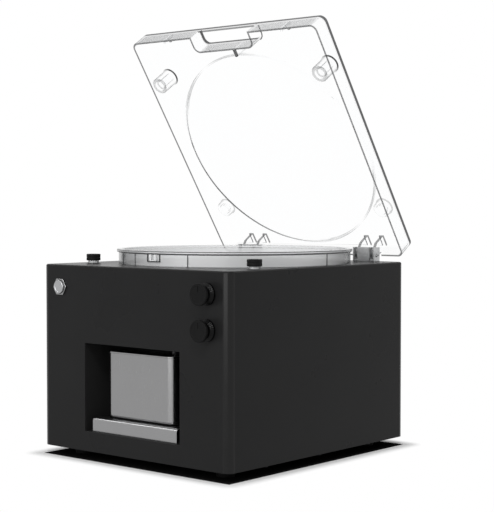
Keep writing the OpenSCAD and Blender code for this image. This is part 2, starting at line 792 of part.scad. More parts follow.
// Recess, shelf, bin and chute
module recess_housing() {
  half = opening_w / 2;
  outer_h = ceiling_z + recess_t - (sill_z - recess_t);
  color("#141414") difference() {
    union() {
      translate([-half - recess_t, recess_front, sill_z - recess_t])
        cube([opening_w + 2 * recess_t, recess_back - recess_front, outer_h]);
      translate([-half - recess_t - recess_flange, recess_front, sill_z - recess_t - recess_flange])
        cube([opening_w + 2 * (recess_t + recess_flange), recess_t, outer_h + 2 * recess_flange]);
    }
    translate([-half, recess_front - cut, sill_z])
      cube([opening_w, recess_in_back - recess_front + cut, ceiling_z - sill_z]);
    translate([0, port_y, ceiling_z - cut]) cylinder(r = chute_r + seat_gap, h = recess_t + 2 * cut);
  }
}

module bin_shelf() {
  deep = recess_in_back - shelf_front;
  color("#b9bcc0") translate([-shelf_half, shelf_front, sill_z])
    rotate([90, 0, 90]) linear_extrude(2 * shelf_half) difference() {
      union() {
        square([deep, shelf_h - shelf_bend_r]);
        translate([shelf_bend_r, 0]) square([deep - shelf_bend_r, shelf_h]);
        translate([shelf_bend_r, shelf_h - shelf_bend_r]) circle(r = shelf_bend_r);
      }
      translate([shelf_t, -cut]) square([deep - 2 * shelf_t, shelf_h - shelf_t + cut]);
    }
}

module collection_bin() {
  color("#c4c7cb") translate([0, bin_front + bin_l / 2, bin_low]) difference() {
    union() {
      translate([0, 0, bin_h]) mirror([0, 0, 1]) soft_block(bin_w, bin_l, bin_h, bin_r, bin_edge_r);
      translate([0, 0, bin_h - bin_lip_h]) linear_extrude(bin_lip_h)
        rounded_rect(bin_w + 2 * bin_lip, bin_l + 2 * bin_lip, bin_r + bin_lip);
    }
    translate([0, 0, bin_h + cut]) mirror([0, 0, 1])
      soft_block(bin_w - 2 * bin_t, bin_l - 2 * bin_t, bin_h + cut - bin_t,
        bin_r - bin_t, bin_edge_r - bin_t);
  }
}

module peel_chute() {
  chute_h = tank_low - ceiling_z + lintel_drop;
  color("#c4c7cb") translate([0, port_y, 0]) {
    translate([0, 0, tank_low - chute_h]) ring(chute_r, port_r, chute_h);
    translate([0, 0, tank_low - chute_flange_t]) ring(chute_r + chute_flange_w, port_r, chute_flange_t);
  }
}

// Tank, sleeve, collar and seal
module tank() {
  color("#c4c7cb") difference() {
    translate([0, tank_y, 0]) rotate_extrude() {
      translate([0, tank_low]) square([tank_r, tank_t]);
      translate([tank_in_r, tank_low]) square([tank_t, top_z - tank_low + tank_t]);
      translate([tank_in_r, top_z]) square([tank_flange_r - tank_in_r, tank_t]);
    }
    translate([0, tank_y, tank_low - cut]) cylinder(r = shaft_r + screw_gap, h = tank_t + 2 * cut);
    translate([0, port_y, tank_low - cut]) cylinder(r = port_r, h = tank_t + 2 * cut);
    for (a = bolt_angles) translate([0, tank_y, tank_low - cut]) rotate([0, 0, a])
      translate([housing_bolt_circle_r, 0, 0]) cylinder(r = screw_r + screw_gap, h = tank_t + 2 * cut);
  }
}

module peeling_sleeve() {
  low = disc_top + sleeve_margin;
  color("#6f7275") translate([0, tank_y, low])
    ring(tank_in_r - seat_gap, sleeve_in_r, top_z - sleeve_margin - low);
}

module feed_collar() {
  color("#dfe6ea", 0.5) translate([0, tank_y, top_z]) {
    ring(collar_r, collar_in_r, collar_h - rim_t);
    translate([0, 0, collar_h - rim_t]) ring(rim_r, collar_in_r - rim_inhang, rim_t);
    for (a = rib_angles) rotate([0, 0, a]) translate([collar_r - collar_t / 2, -rib_w / 2, 0])
      cube([collar_t / 2 + rib_out, rib_w, collar_h - rim_t]);
  }
}

module collar_seal() {
  color("#e8e8e8") translate([0, tank_y, top_z])
    ring(collar_in_r - seat_gap, tank_flange_r + seat_gap, seal_h);
}

module latch_keeper() {
  back = collar_r - collar_t;
  low = collar_h - rim_t - keeper_h - seat_gap;
  color("#e8ecee", 0.8) translate([0, tank_y, top_z + low]) difference() {
    translate([-keeper_w / 2, -collar_r - keeper_out, 0])
      cube([keeper_w, collar_r + keeper_out - back, keeper_h]);
    translate([0, 0, -cut]) cylinder(r = collar_r + seat_gap, h = keeper_h + 2 * cut, $fn = 512);
    translate([-keeper_slot_w / 2, -collar_r - keeper_out - cut, keeper_floor])
      cube([keeper_slot_w, keeper_out + cut, keeper_h]);
  }
}

// Bumpers
module bumper_post(side) {
  color("#101010") translate([side * bumper_x, bumper_y, top_z]) {
    cylinder(r = post_r, h = post_h);
    translate([0, 0, -stud_h]) cylinder(r = stud_r, h = stud_h);
  }
}

module bumper_cap(side) {
  color("#101010") translate([side * bumper_x, bumper_y, top_z + post_h]) rotate_extrude() {
    square([bumper_r, bumper_h - bumper_bevel]);
    polygon([
      [0, 0], [bumper_r, bumper_h - bumper_bevel],
      [bumper_r - bumper_bevel, bumper_h], [0, bumper_h]
    ]);
  }
}

// Hinges
module hinge_bracket(side) {
  slot_w = lug_t + 2 * lug_gap;
  color("#8d9094") translate([side * hinge_x, hinge_y, top_z]) difference() {
    translate([-bracket_w / 2, -bracket_d / 2, 0]) cube([bracket_w, bracket_d, bracket_h]);
    for (s = [-0.5, 0.5]) {
      translate([s * lug_pitch - slot_w / 2, -bracket_d / 2 - cut, bracket_sole])
        cube([slot_w, bracket_d + 2 * cut, bracket_h]);
      translate([s * hinge_screw_pitch, 0, -cut])
        cylinder(r = screw_r + screw_gap, h = hinge_screw_deep + cut);
    }
    translate([-bracket_w / 2 - cut, 0, hinge_h]) rotate([0, 90, 0])
      cylinder(r = hinge_pin_r + hinge_gap, h = bracket_w + 2 * cut);
  }
}

module hinge_pin(side) {
  length = bracket_w + 2 * hinge_pin_past;
  color("#5c5f63") translate([side * hinge_x - length / 2, hinge_y, hinge_z])
    rotate([0, 90, 0]) cylinder(r = hinge_pin_r, h = length);
}

module hinge_screws() {
  color("silver") for (side = [-1, 1], s = [-0.5, 0.5])
    translate([side * hinge_x + s * hinge_screw_pitch, hinge_y, inner_top])
      screw(screw_r, screw_head_r, screw_head_h, sheet_t + hinge_screw_deep - seat_gap);
}

// Lid, drawn closed and then turned open about the hinge axis
module lid_outline(inset) {
  notch_half = notch_w / 2 + inset;
  corner = notch_r + inset;
  notch_back = -lid_l / 2 + notch_d + inset;
  difference() {
    rounded_rect(lid_w - 2 * inset, lid_l - 2 * inset, lid_r - inset);
    translate([-notch_half, -lid_l / 2 - cut]) square([2 * notch_half, notch_d + inset + cut - corner]);
    translate([-notch_half + corner, -lid_l / 2 - cut])
      square([2 * (notch_half - corner), notch_d + inset + cut]);
    for (s = [-1, 1]) translate([s * (notch_half - corner), notch_back - corner]) circle(r = corner);
  }
}

// Outline of a hinge lug in the plane across the hinge axis, with the axis at its origin
module lug_outline() {
  circle(r = lug_r);
  polygon([[-lug_r, 0], [-lug_reach, lug_h / 2], [-lug_reach, lug_h], [lug_r, lug_h], [lug_r, 0]]);
  translate([-lug_reach + lug_nose_r, lug_h / 2 - lug_nose_r / 2]) circle(r = lug_nose_r);
}

module lid_closed() {
  boss_y = [bumper_y, lid_l / 2 - boss_rear_inset];
  boss_low = [bumper_top + boss_gap, plate_low - boss_rear_h];
  fin_front = -lid_l / 2 + notch_d + skirt_t / 2;
  fin_back = tank_y - rim_r - rim_gap;
  difference() {
    union() {
      translate([0, 0, plate_low]) linear_extrude(lid_t) lid_outline(0);
      translate([0, 0, lid_low]) linear_extrude(lid_h - lid_t) difference() {
        lid_outline(0);
        lid_outline(skirt_t);
      }
      translate([-notch_w / 2 - skirt_t, -lid_l / 2, lid_low + lid_h - grip_h])
        cube([notch_w + 2 * skirt_t, skirt_t, grip_h]);
      for (s = [-1, 1], i = [0, 1]) translate([s * bumper_x, boss_y[i], boss_low[i]])
        cylinder(r = boss_r, h = plate_low - boss_low[i] + lid_t / 2);
      translate([0, tank_y, plate_low - ridge_h])
        ring(collar_r - ridge_in, collar_r - ridge_in - ridge_t, ridge_h + lid_t / 2);
      translate([fin_x - fin_t / 2, fin_front, lid_low])
        cube([fin_t, fin_back - fin_front, lid_h - lid_t / 2]);
    }
    for (s = [-1, 1], i = [0, 1]) translate([s * bumper_x, boss_y[i], boss_low[i] - cut])
      cylinder(r = boss_bore_r, h = plate_low - boss_low[i] + cut);
    for (s = [-1, 1])
      translate([s * hinge_x - bracket_w / 2 - skirt_cut_side, lid_l / 2 - skirt_t - cut, lid_low - cut])
        cube([bracket_w + 2 * skirt_cut_side, skirt_t + 2 * cut, skirt_cut_h + cut]);
  }
  for (side = [-1, 1], s = [-0.5, 0.5])
    translate([side * hinge_x + s * lug_pitch - lug_t / 2, hinge_y, hinge_z])
      rotate([90, 0, 90]) difference() {
        linear_extrude(lug_t) lug_outline();
        translate([0, 0, -cut]) cylinder(r = hinge_pin_r + hinge_gap, h = lug_t + 2 * cut);
      }
}

module lid() {
  color("#e6eef2", 0.35) translate([0, hinge_y, hinge_z]) rotate([-lid_rest_deg, 0, 0])
    translate([0, -hinge_y, -hinge_z]) lid_closed();
}

// Rotor in the tank
module main_shaft() {
  low = pulley_low - screw_past;
  color("silver") translate([0, tank_y, low]) cylinder(r = shaft_r, h = disc_top + shaft_in_cap - low);
}

module peeling_disc() {
  ring_pitch = (disc_r - disc_hole_edge - disc_hole_first) / (disc_hole_rings - 1);
  color("#9b9ea2") translate([0, tank_y, 0]) difference() {
    union() {
      translate([0, 0, disc_low]) cylinder(r = disc_r, h = disc_t);
      translate([0, 0, floor_z + wiper_gap]) cylinder(r = hub_r, h = disc_rise - wiper_gap);
      for (i = [0 : disc_ribs - 1]) rotate([0, 0, i * 360 / disc_ribs])
        translate([cap_r + disc_rib_in, -disc_rib_w / 2, disc_top - disc_t / 2])
          cube([disc_r - cap_r - disc_rib_in - disc_rib_out, disc_rib_w, disc_t / 2 + disc_rib_h]);
    }
    translate([0, 0, floor_z]) cylinder(r = shaft_r + run_gap, h = disc_rise + disc_t + disc_rib_h);
    for (row = [0 : disc_hole_rings - 1]) {
      holes = disc_hole_count + row * disc_hole_gain;
      for (i = [0 : holes - 1]) rotate([0, 0, (i + 0.5) * 360 / holes])
        translate([disc_hole_first + row * ring_pitch, 0, disc_low - cut])
          cylinder(r = disc_hole_r, h = disc_t + disc_rib_h + 2 * cut);
    }
  }
}

module disc_cap() {
  crown_r = shaft_r + cap_wall;
  color("#2a2a2a") translate([0, tank_y, disc_top]) difference() {
    rotate_extrude() polygon([
      [0, 0], [cap_r, 0], [cap_r, cap_brim_h], [crown_r, cap_h - cap_bevel],
      [crown_r - cap_bevel, cap_h], [0, cap_h]
    ]);
    translate([0, 0, -cut]) cylinder(r = shaft_r + run_gap, h = shaft_in_cap + cut + seat_gap);
  }
}

module disc_wipers() {
  low = floor_z + wiper_gap;
  length = disc_r - hub_r - seat_gap - wiper_end;
  color("#e0e0e0") translate([0, tank_y, 0]) for (turn = wiper_angles) rotate([0, 0, turn])
    translate([hub_r + seat_gap, -wiper_t / 2, low]) cube([length, wiper_t, disc_low - low]);
}

// Pulley with a belt seat of radius seat_r and a bore
module pulley(seat_r, bore_r) {
  flange_r = seat_r + pulley_flange;
  difference() {
    rotate_extrude() {
      square([seat_r, pulley_h]);
      square([flange_r, pulley_flange_t]);
      translate([0, pulley_h - pulley_flange_t]) square([flange_r, pulley_flange_t]);
    }
    translate([0, 0, -cut]) cylinder(r = bore_r, h = pulley_h + 2 * cut);
  }
}

module driven_pulley() {
  hole_r = (driven_r - shaft_r) / 4;
  color("#3c3f42") translate([0, tank_y, pulley_low]) difference() {
    pulley(driven_r, shaft_r + run_gap);
    for (a = [0 : 60 : 300]) rotate([0, 0, a]) translate([(driven_r + shaft_r) / 2, 0, -cut])
      cylinder(r = hole_r, h = pulley_h + 2 * cut);
  }
}

// Bearings under the tank
module bearing_housing() {
  color("#a9acb0") translate([0, tank_y, housing_low]) difference() {
    union() {
      cylinder(r = bearing_r + housing_wall, h = housing_h);
      translate([0, 0, housing_h - housing_flange_t]) cylinder(r = housing_flange_r, h = housing_flange_t);
    }
    translate([0, 0, -cut]) cylinder(r = bearing_r, h = housing_h + 2 * cut);
    for (a = bolt_angles) rotate([0, 0, a])
      translate([housing_bolt_circle_r, 0, housing_h - housing_flange_t - cut])
        cylinder(r = screw_r + screw_gap, h = housing_flange_t + 2 * cut);
  }
}

module bearing(z) {
  color("#d0d3d6") translate([0, tank_y, z]) ring(bearing_r - seat_gap, shaft_r + run_gap, bearing_h);
}

module shaft_seal() {
  color("#3a2a22") translate([0, tank_y, tank_low - shaft_seal_h])
    ring(bearing_r - seat_gap, shaft_r + run_gap, shaft_seal_h - seat_gap);
}

module housing_bolts() {
  color("silver") translate([0, tank_y, tank_low - housing_flange_t]) for (a = bolt_angles)
    rotate([0, 0, a]) translate([housing_bolt_circle_r, 0, 0])
      screw(screw_r, screw_head_r, screw_head_h, housing_flange_t + tank_t);
}

// Motor, stand and belt
module motor() {
  color("#55595d") translate([0, motor_y, motor_low]) difference() {
    union() {
      cylinder(r = motor_r, h = motor_h);
      cylinder(r = motor_boss_r, h = motor_h + motor_boss_h);
    }
    translate([0, 0, motor_h + motor_boss_h - motor_shaft_in])
      cylinder(r = motor_shaft_r + run_gap, h = motor_shaft_in + cut);
  }
}

module motor_stand() {
  stand_h = motor_low - base_top;
  color("#6d7073") translate([0, motor_y, base_top]) difference() {
    union() {
      cylinder(r = stand_r, h = stand_h);
      cylinder(r = stand_r + stand_foot_w, h = stand_t);
    }
    translate([0, 0, -cut]) cylinder(r = motor_r - stand_t, h = stand_h - stand_t + cut);
    for (a = bolt_angles) rotate([0, 0, a]) translate([stand_bolt_r, 0, -cut])
      cylinder(r = screw_r + screw_gap, h = stand_t + 2 * cut);
  }
}

module motor_bolts() {
  color("silver") for (a = bolt_angles) translate([0, motor_y, base_top + stand_t]) rotate([0, 0, a])
    translate([stand_bolt_r, 0, 0]) rotate([180, 0, 0])
      screw(screw_r, screw_head_r, screw_head_h, stand_t + base_t + screw_past);
}

module motor_shaft() {
  low = motor_top - motor_shaft_in + seat_gap;
  color("silver") translate([0, motor_y, low])
    cylinder(r = motor_shaft_r, h = pulley_low + pulley_h + screw_past - low);
}

module motor_pulley() {
  color("#3c3f42") translate([0, motor_y, pulley_low]) pulley(drive_r, motor_shaft_r + run_gap);
}

// Outline of a loop round two circles on the Y axis, belt_span apart
module belt_outline(r1, r2) {
  tilt = acos((r1 - r2) / belt_span);
  circle(r = r1);
  translate([0, belt_span]) circle(r = r2);
  polygon([
    [-r1 * sin(tilt), r1 * cos(tilt)], [r1 * sin(tilt), r1 * cos(tilt)],
    [r2 * sin(tilt), belt_span + r2 * cos(tilt)], [-r2 * sin(tilt), belt_span + r2 * cos(tilt)]
  ]);
}

module drive_belt() {
  color("#1c1c1c") translate([0, tank_y, pulley_low + pulley_flange_t + belt_gap])
    linear_extrude(belt_w) difference() {
      belt_outline(driven_r + belt_gap + belt_t, drive_r + belt_gap + belt_t);
      belt_outline(driven_r + belt_gap, drive_r + belt_gap);
    }
}

// Knobs and what carries them; each is drawn upwards from the cabinet's front
module knob(z) {
  waist_r = knob_r - knob_waist_in;
  face = knob_h - knob_bevel;
  color("#0c0c0c") on_front(control_x, z) difference() {
    union() {
      translate([0, 0, knob_gap]) cylinder(r = knob_r, h = knob_flange_h);
      translate([0, 0, knob_gap + knob_flange_h / 2])
        linear_extrude(face - knob_gap - knob_flange_h) difference() {
          circle(r = waist_r);
          for (i = [0 : knob_grooves - 1]) rotate(i * 360 / knob_grooves)
            translate([waist_r, 0]) circle(r = knob_groove_r);
        }
      rotate_extrude() polygon([
        [0, face - knob_flange_h], [knob_r, face - knob_flange_h], [knob_r, face],
        [knob_r - knob_bevel, knob_h], [0, knob_h]
      ]);
    }
    translate([0, 0, knob_gap - cut]) cylinder(r = nut_pocket_r, h = nut_pocket_h - knob_gap + cut);
    cylinder(r = pot_shaft_r + shaft_gap, h = knob_h - knob_flange_h);
    translate([-pointer_w / 2, knob_r - pointer_l, knob_h - pointer_deep])
      cube([pointer_w, pointer_l + cut, pointer_deep + cut]);
  }
}

module control_shaft(z) {
  color("silver") on_front(control_x, z) translate([0, 0, -pot_h / 2])
    cylinder(r = pot_shaft_r, h = pot_h / 2 + knob_h - knob_flange_h - seat_gap);
}

module pot(z) {
  color("#3f4a44") on_front(control_x, z) difference() {
    union() {
      translate([0, 0, -sheet_t - pot_h]) cylinder(r = pot_r, h = pot_h);
      translate([0, 0, -sheet_t - pot_h / 2]) cylinder(r = bush_r, h = sheet_t + pot_h / 2 + bush_h);
    }
    translate([0, 0, -pot_h / 2 - seat_gap])
      cylinder(r = pot_shaft_r + shaft_gap, h = pot_h / 2 + seat_gap + bush_h + cut);
  }
}

module pot_nuts() {
  color("silver") for (z = [speed_z, timer_z]) on_front(control_x, z) difference() {
    cylinder(r = pot_nut_af / sqrt(3), h = pot_nut_h, $fn = 6);
    translate([0, 0, -cut]) cylinder(r = bush_r + seat_gap, h = pot_nut_h + 2 * cut);
  }
}

// Push button
module button_cap() {
  low = bezel_h / 2;
  color("#c9ccd0") on_front(-control_x, button_z) {
    rotate_extrude() polygon([
      [0, low], [button_r, low], [button_r, button_h - button_bevel],
      [button_r - button_bevel, button_h], [0, button_h]
    ]);
    translate([0, 0, -stem_h]) cylinder(r = stem_r, h = stem_h + low);
  }
}

module button_bezel() {
  color("#b4b7bb") on_front(-control_x, button_z) difference() {
    cylinder(r = bezel_af / sqrt(3), h = bezel_h, $fn = 6);
    translate([0, 0, -cut]) cylinder(r = button_bore_r, h = bezel_h + 2 * cut);
  }
}

module button_body() {
  color("#2f3133") on_front(-control_x, button_z) difference() {
    translate([0, 0, -button_body_h]) cylinder(r = button_body_r, h = button_body_h);
    translate([0, 0, -button_travel]) cylinder(r = button_bore_r, h = button_travel + cut);
    translate([0, 0, -stem_h - button_travel - cut])
      cylinder(r = stem_r + control_gap, h = stem_h + button_travel + 2 * cut);
  }
}

module button_nut() {
  color("silver") on_front(-control_x, button_z) translate([0, 0, -sheet_t - button_nut_h]) difference() {
    cylinder(r = button_body_r + button_nut_w, h = button_nut_h, $fn = 6);
    translate([0, 0, -cut]) cylinder(r = button_body_r + seat_gap, h = button_nut_h + 2 * cut);
  }
}

// Control board on the left wall
module control_board() {
  wall_x = -cabinet_w / 2 + sheet_t;
  mid_z = foot_clear + board_z;
  // Place along and up the board and extent along and up it, as shares of the board, then height
  blocks = [
    [0.14, 0.20, 0.20, 0.55, transformer_h],
    [0.62, 0.40, 0.22, 0.40, relay_h],
    [0.20, 0.88, 0.60, 0.08, terminal_h]
  ];
  capacitors = [0.44, 0.54];
  color("#1f5a3a") translate([wall_x + standoff_h, board_y - board_w / 2, mid_z - board_h / 2]) {
    cube([board_t, board_w, board_h]);
    for (block = blocks) translate([board_t / 2, board_w * block[0], board_h * block[1]])
      cube([block[4], board_w * block[2], board_h * block[3]]);
    for (along = capacitors) translate([board_t / 2, board_w * along, board_h * 0.3])
      rotate([0, 90, 0]) cylinder(r = capacitor_r, h = capacitor_h);
  }
}

module board_standoffs() {
  wall_x = -cabinet_w / 2 + sheet_t;
  mid_z = foot_clear + board_z;
  spread_y = board_w / 2 - standoff_inset;
  spread_z = board_h / 2 - standoff_inset;
  color("silver") for (sy = [-1, 1], sz = [-1, 1])
    translate([wall_x, board_y + sy * spread_y, mid_z + sz * spread_z])
      rotate([0, 90, 0]) cylinder(r = standoff_r, h = standoff_h);
}

cabinet_shell();
base_plate();
base_screws();
rear_panel();
rear_screws();
foot(-1, -1);  // foot_front_left
foot(1, -1);  // foot_front_right
foot(-1, 1);  // foot_rear_left
foot(1, 1);  // foot_rear_right
foot_screws();
recess_housing();
bin_shelf();
collection_bin();
peel_chute();
tank();
peeling_sleeve();
feed_collar();
collar_seal();
latch_keeper();
bumper_post(-1);  // bumper_post_left
bumper_post(1);  // bumper_post_right
bumper_cap(-1);  // bumper_cap_left
bumper_cap(1);  // bumper_cap_right
hinge_bracket(-1);  // hinge_bracket_left
hinge_bracket(1);  // hinge_bracket_right
hinge_pin(-1);  // hinge_pin_left
hinge_pin(1);  // hinge_pin_right
hinge_screws();
lid();
main_shaft();
peeling_disc();
disc_cap();
disc_wipers();
driven_pulley();
bearing_housing();
bearing(tank_low - shaft_seal_h - bearing_h - seat_gap);  // upper_bearing
bearing(housing_low + seat_gap);  // lower_bearing
shaft_seal();
housing_bolts();
motor();
motor_stand();
motor_bolts();
motor_shaft();
motor_pulley();
drive_belt();
knob(speed_z);  // speed_knob
control_shaft(speed_z);  // speed_shaft
pot(speed_z);  // speed_pot
knob(timer_z);  // timer_knob
control_shaft(timer_z);  // timer_shaft
pot(timer_z);  // timer_pot
pot_nuts();
button_cap();
button_bezel();
button_body();
button_nut();
control_board();
board_standoffs();
power_inlet();
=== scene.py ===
import json
import math

import bmesh
import bpy
from mathutils import Matrix, Vector


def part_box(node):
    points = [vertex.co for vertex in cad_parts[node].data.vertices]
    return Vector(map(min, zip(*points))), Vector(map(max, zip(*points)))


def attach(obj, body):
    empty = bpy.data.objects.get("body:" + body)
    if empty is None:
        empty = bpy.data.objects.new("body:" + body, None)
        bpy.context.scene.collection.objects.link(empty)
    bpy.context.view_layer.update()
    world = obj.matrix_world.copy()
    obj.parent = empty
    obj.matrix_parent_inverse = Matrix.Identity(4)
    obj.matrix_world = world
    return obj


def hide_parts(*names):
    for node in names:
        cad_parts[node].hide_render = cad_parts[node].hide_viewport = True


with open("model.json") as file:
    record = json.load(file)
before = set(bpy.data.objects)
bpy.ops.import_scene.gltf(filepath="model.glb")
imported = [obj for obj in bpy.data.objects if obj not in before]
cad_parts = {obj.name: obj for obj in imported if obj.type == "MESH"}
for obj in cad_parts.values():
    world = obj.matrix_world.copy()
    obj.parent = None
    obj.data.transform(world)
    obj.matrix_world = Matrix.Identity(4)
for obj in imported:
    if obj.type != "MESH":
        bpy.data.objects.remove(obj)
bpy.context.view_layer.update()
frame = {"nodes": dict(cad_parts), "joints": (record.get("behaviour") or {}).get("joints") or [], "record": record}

mm = 0.001  # sizes below are in millimetres, the scene is in metres
slack = 0.1  # millimetres of tolerance when a face is told by its place


# Places read from the frame, in millimetres

def boxAround(points):
    low = Vector([min(point[axis] for point in points) for axis in range(3)])
    high = Vector([max(point[axis] for point in points) for axis in range(3)])
    return low / mm, high / mm


def nodeBox(node):
    return boxAround(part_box(node))


def middle(box):
    return (box[0] + box[1]) / 2


# a piece is named after the node it stands for
def pieceName(node):
    first, *rest = node.split("_")
    return first + "".join(word.capitalize() for word in rest)


# Flat outlines and how they become meshes

# an outline with its corners rounded, by one radius or by one for each corner
def filleted(points, radii, steps=6):
    corners = [Vector(point) for point in points]
    count = len(corners)
    rounded = []
    for i, corner in enumerate(corners):
        radius = radii[i] if isinstance(radii, list) else radii
        if radius <= 0:
            rounded.append(corner)
            continue
        back = (corners[i - 1] - corner).normalized()
        ahead = (corners[(i + 1) % count] - corner).normalized()
        half = back.angle(ahead) / 2
        centre = corner + (back + ahead).normalized() * radius / math.sin(half)
        start = corner + back * radius / math.tan(half) - centre
        sweep = math.pi - 2 * half
        turn = sweep if back.cross(ahead) < 0 else -sweep
        for k in range(steps + 1):
            rounded.append(centre + Matrix.Rotation(turn * k / steps, 2) @ start)
    return rounded


def roundedRect(width, depth, radius, steps):
    x, y = width / 2, depth / 2
    return filleted([(-x, -y), (x, -y), (x, y), (-x, y)], radius, steps)


# a rounded rectangle inside a box, at one height
def boxLoop(box, inset, radius, z):
    size, centre = box[1] - box[0], middle(box)
    outline = roundedRect(size.x - 2 * inset, size.y - 2 * inset, radius, 10)
    return [(centre.x + x, centre.y + y, z) for x, y in outline]


# (inset, height) pairs round a quarter circle, from the flat end to the side or from the side to the end
def roundOver(inset, z, insetBy, zBy, steps, fromSide=False):
    pairs = []
    for k in range(steps + 1):
        angle = math.pi / 2 * k / steps
        shares = 1 - math.sin(angle), 1 - math.cos(angle)
        along, up = reversed(shares) if fromSide else shares
        pairs.append((inset + insetBy * along, z + zBy * up))
    return pairs


def newObject(name, bm):
    bmesh.ops.recalc_face_normals(bm, faces=bm.faces)
    mesh = bpy.data.meshes.new(name)
    bm.to_mesh(mesh)
    bm.free()
    piece = bpy.data.objects.new(name, mesh)
    bpy.context.scene.collection.objects.link(piece)
    return piece


# loops of equal length, skinned one after another, with flat ends
def skinLoops(name, loops):
    bm = bmesh.new()
    rings = [[bm.verts.new(Vector(point) * mm) for point in loop] for loop in loops]
    count = len(rings[0])
    for lower, upper in zip(rings, rings[1:]):
        for j in range(count):
            k = (j + 1) % count
            bm.faces.new((lower[j], lower[k], upper[k], upper[j]))
    bm.faces.new(rings[0])
    bm.faces.new(rings[-1])
    return newObject(name, bm)


# a section of (radius, height) points turned round the Z axis; wave takes its depth off the radius
def turned(name, section, closed=False, steps=96, wave=None):
    bm = bmesh.new()
    rings = []
    for radius, height in section:
        if radius < 1e-6:
            rings.append([bm.verts.new((0, 0, height * mm))])
            continue
        ring = []
        for j in range(steps):
            angle = 2 * math.pi * j / steps
            reach = radius - (wave(radius, height, angle) if wave else 0)
            spot = Vector((reach * math.cos(angle), reach * math.sin(angle), height))
            ring.append(bm.verts.new(spot * mm))
        rings.append(ring)
    pairs = list(zip(rings, rings[1:]))
    if closed:
        pairs.append((rings[-1], rings[0]))
    for lower, upper in pairs:
        for j in range(steps):
            k = (j + 1) % steps
            face = [lower[j % len(lower)], lower[k % len(lower)]]
            face += [upper[k % len(upper)], upper[j % len(upper)]]
            corners = list(dict.fromkeys(face))
            if len(corners) > 2:
                bm.faces.new(corners)
    return newObject(name, bm)


# a flat outline pushed straight up
def raised(name, outline, low, high):
    return skinLoops(name, [[(x, y, z) for x, y in outline] for z in (low, high)])


def block(low, high):
    outline = [(low[0], low[1]), (high[0], low[1]), (high[0], high[1]), (low[0], high[1])]
    return raised("block", outline, low[2], high[2])


# a block that reaches to both sides of x
def slab(x, half, front, back, low, high):
    return block((x - half, front, low), (x + half, back, high))


# a round cutter
def drill(radius, low, high, steps):
    return turned("drill", [(0, low), (radius, low), (radius, high), (0, high)], steps=steps)


def place(piece, matrix):
    piece.data.transform(matrix)
    return piece


def shifted(piece, x, y, z):
    return place(piece, Matrix.Translation(Vector((x, y, z)) * mm))


def facingFront(piece, x, y, z):  # Z of the piece becomes the front's outward direction
    return place(piece, Matrix.Translation(Vector((x, y, z)) * mm) @ Matrix.Rotation(math.pi / 2, 4, "X"))


# turns an outline of (y, z) points, raised along Z, so that it runs along X
alongX = Matrix(((0, 0, 1, 0), (1, 0, 0, 0), (0, 1, 0, 0), (0, 0, 0, 1)))


def applied(piece):
    graph = bpy.context.evaluated_depsgraph_get()
    mesh = bpy.data.meshes.new_from_object(piece.evaluated_get(graph))
    old = piece.data
    piece.modifiers.clear()
    piece.data = mesh
    bpy.data.meshes.remove(old)
    mesh.name = piece.name
    return piece


def combined(piece, others, operation):
    for other in others:
        tool = piece.modifiers.new("shape", "BOOLEAN")
        tool.operation = operation
        tool.solver = "EXACT"
        tool.object = other
    applied(piece)
    for other in others:
        mesh = other.data
        bpy.data.objects.remove(other)
        bpy.data.meshes.remove(mesh)
    return piece


easing = {
    "sharpFrom": 38,  # degrees between faces at which the shading breaks
    "level": 0.9999,  # least share of a normal along one axis on a level face
    "evenWeight": 60,
    "weld": 1e-6,  # metres between points that become one
    "flatten": 0.6,  # degrees between facets that become one face
}


# soft edges where faces meet at more than limit degrees, and even shading;
# level faces larger than flatFrom square millimetres are shaded flat
def eased(piece, width=0.4, limit=40, steps=2, flatFrom=None):
    if width > 0:
        soft = piece.modifiers.new("soft edges", "BEVEL")
        soft.width = width * mm
        soft.segments = steps
        soft.limit_method = "ANGLE"
        soft.angle_limit = math.radians(limit)
        soft.use_clamp_overlap = True
        applied(piece)
    piece.data.set_sharp_from_angle(angle=math.radians(easing["sharpFrom"]))
    for polygon in piece.data.polygons:
        level = max(abs(part) for part in polygon.normal) > easing["level"]
        polygon.use_smooth = not (flatFrom and level and polygon.area > flatFrom * mm * mm)
    even = piece.modifiers.new("even shading", "WEIGHTED_NORMAL")
    even.keep_sharp = True
    even.weight = easing["evenWeight"]
    return applied(piece)


# a copy of a frame node with its facets tidied, cut where asked, and its edges eased
def softCopy(node, width, cuts=()):
    mesh = frame["nodes"][node].data.copy()
    if "custom_normal" in mesh.attributes:
        mesh.attributes.remove(mesh.attributes["custom_normal"])
    bm = bmesh.new()
    bm.from_mesh(mesh)
    bpy.data.meshes.remove(mesh)
    bmesh.ops.remove_doubles(bm, verts=bm.verts, dist=easing["weld"])
    flatten = math.radians(easing["flatten"])
    bmesh.ops.dissolve_limit(bm, angle_limit=flatten, verts=bm.verts, edges=bm.edges)
    copy = newObject(pieceName(node), bm)
    if cuts:
        combined(copy, cuts, "DIFFERENCE")
    return eased(copy, width)


# each face takes the finish that choose names for its middle and its normal
def marked(piece, finishes, choose):
    names = list(finishes)
    for polygon in piece.data.polygons:
        polygon.material_index = names.index(choose(polygon.center / mm, polygon.normal))


# finishes is one material, or a dictionary of them in the order of the marks
def finished(piece, body, slot, finishes, node):
    materials = list(finishes.values()) if isinstance(finishes, dict) else [finishes]
    while len(piece.data.materials) < len(materials):
        piece.data.materials.append(None)
    for index, material in enumerate(materials):
        piece.data.materials[index] = material
    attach(piece, body)
    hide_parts(node)


# Camera at the photograph's place
photoView = {
    "eye": (1280.8, -1455.4, 341.9), "look": (-0.6492, 0.7598, -0.0368), "focalPixels": 1387.36,
    "pixelsHigh": 512, "sensor": 36,
    "farthest": 50,  # metres
}


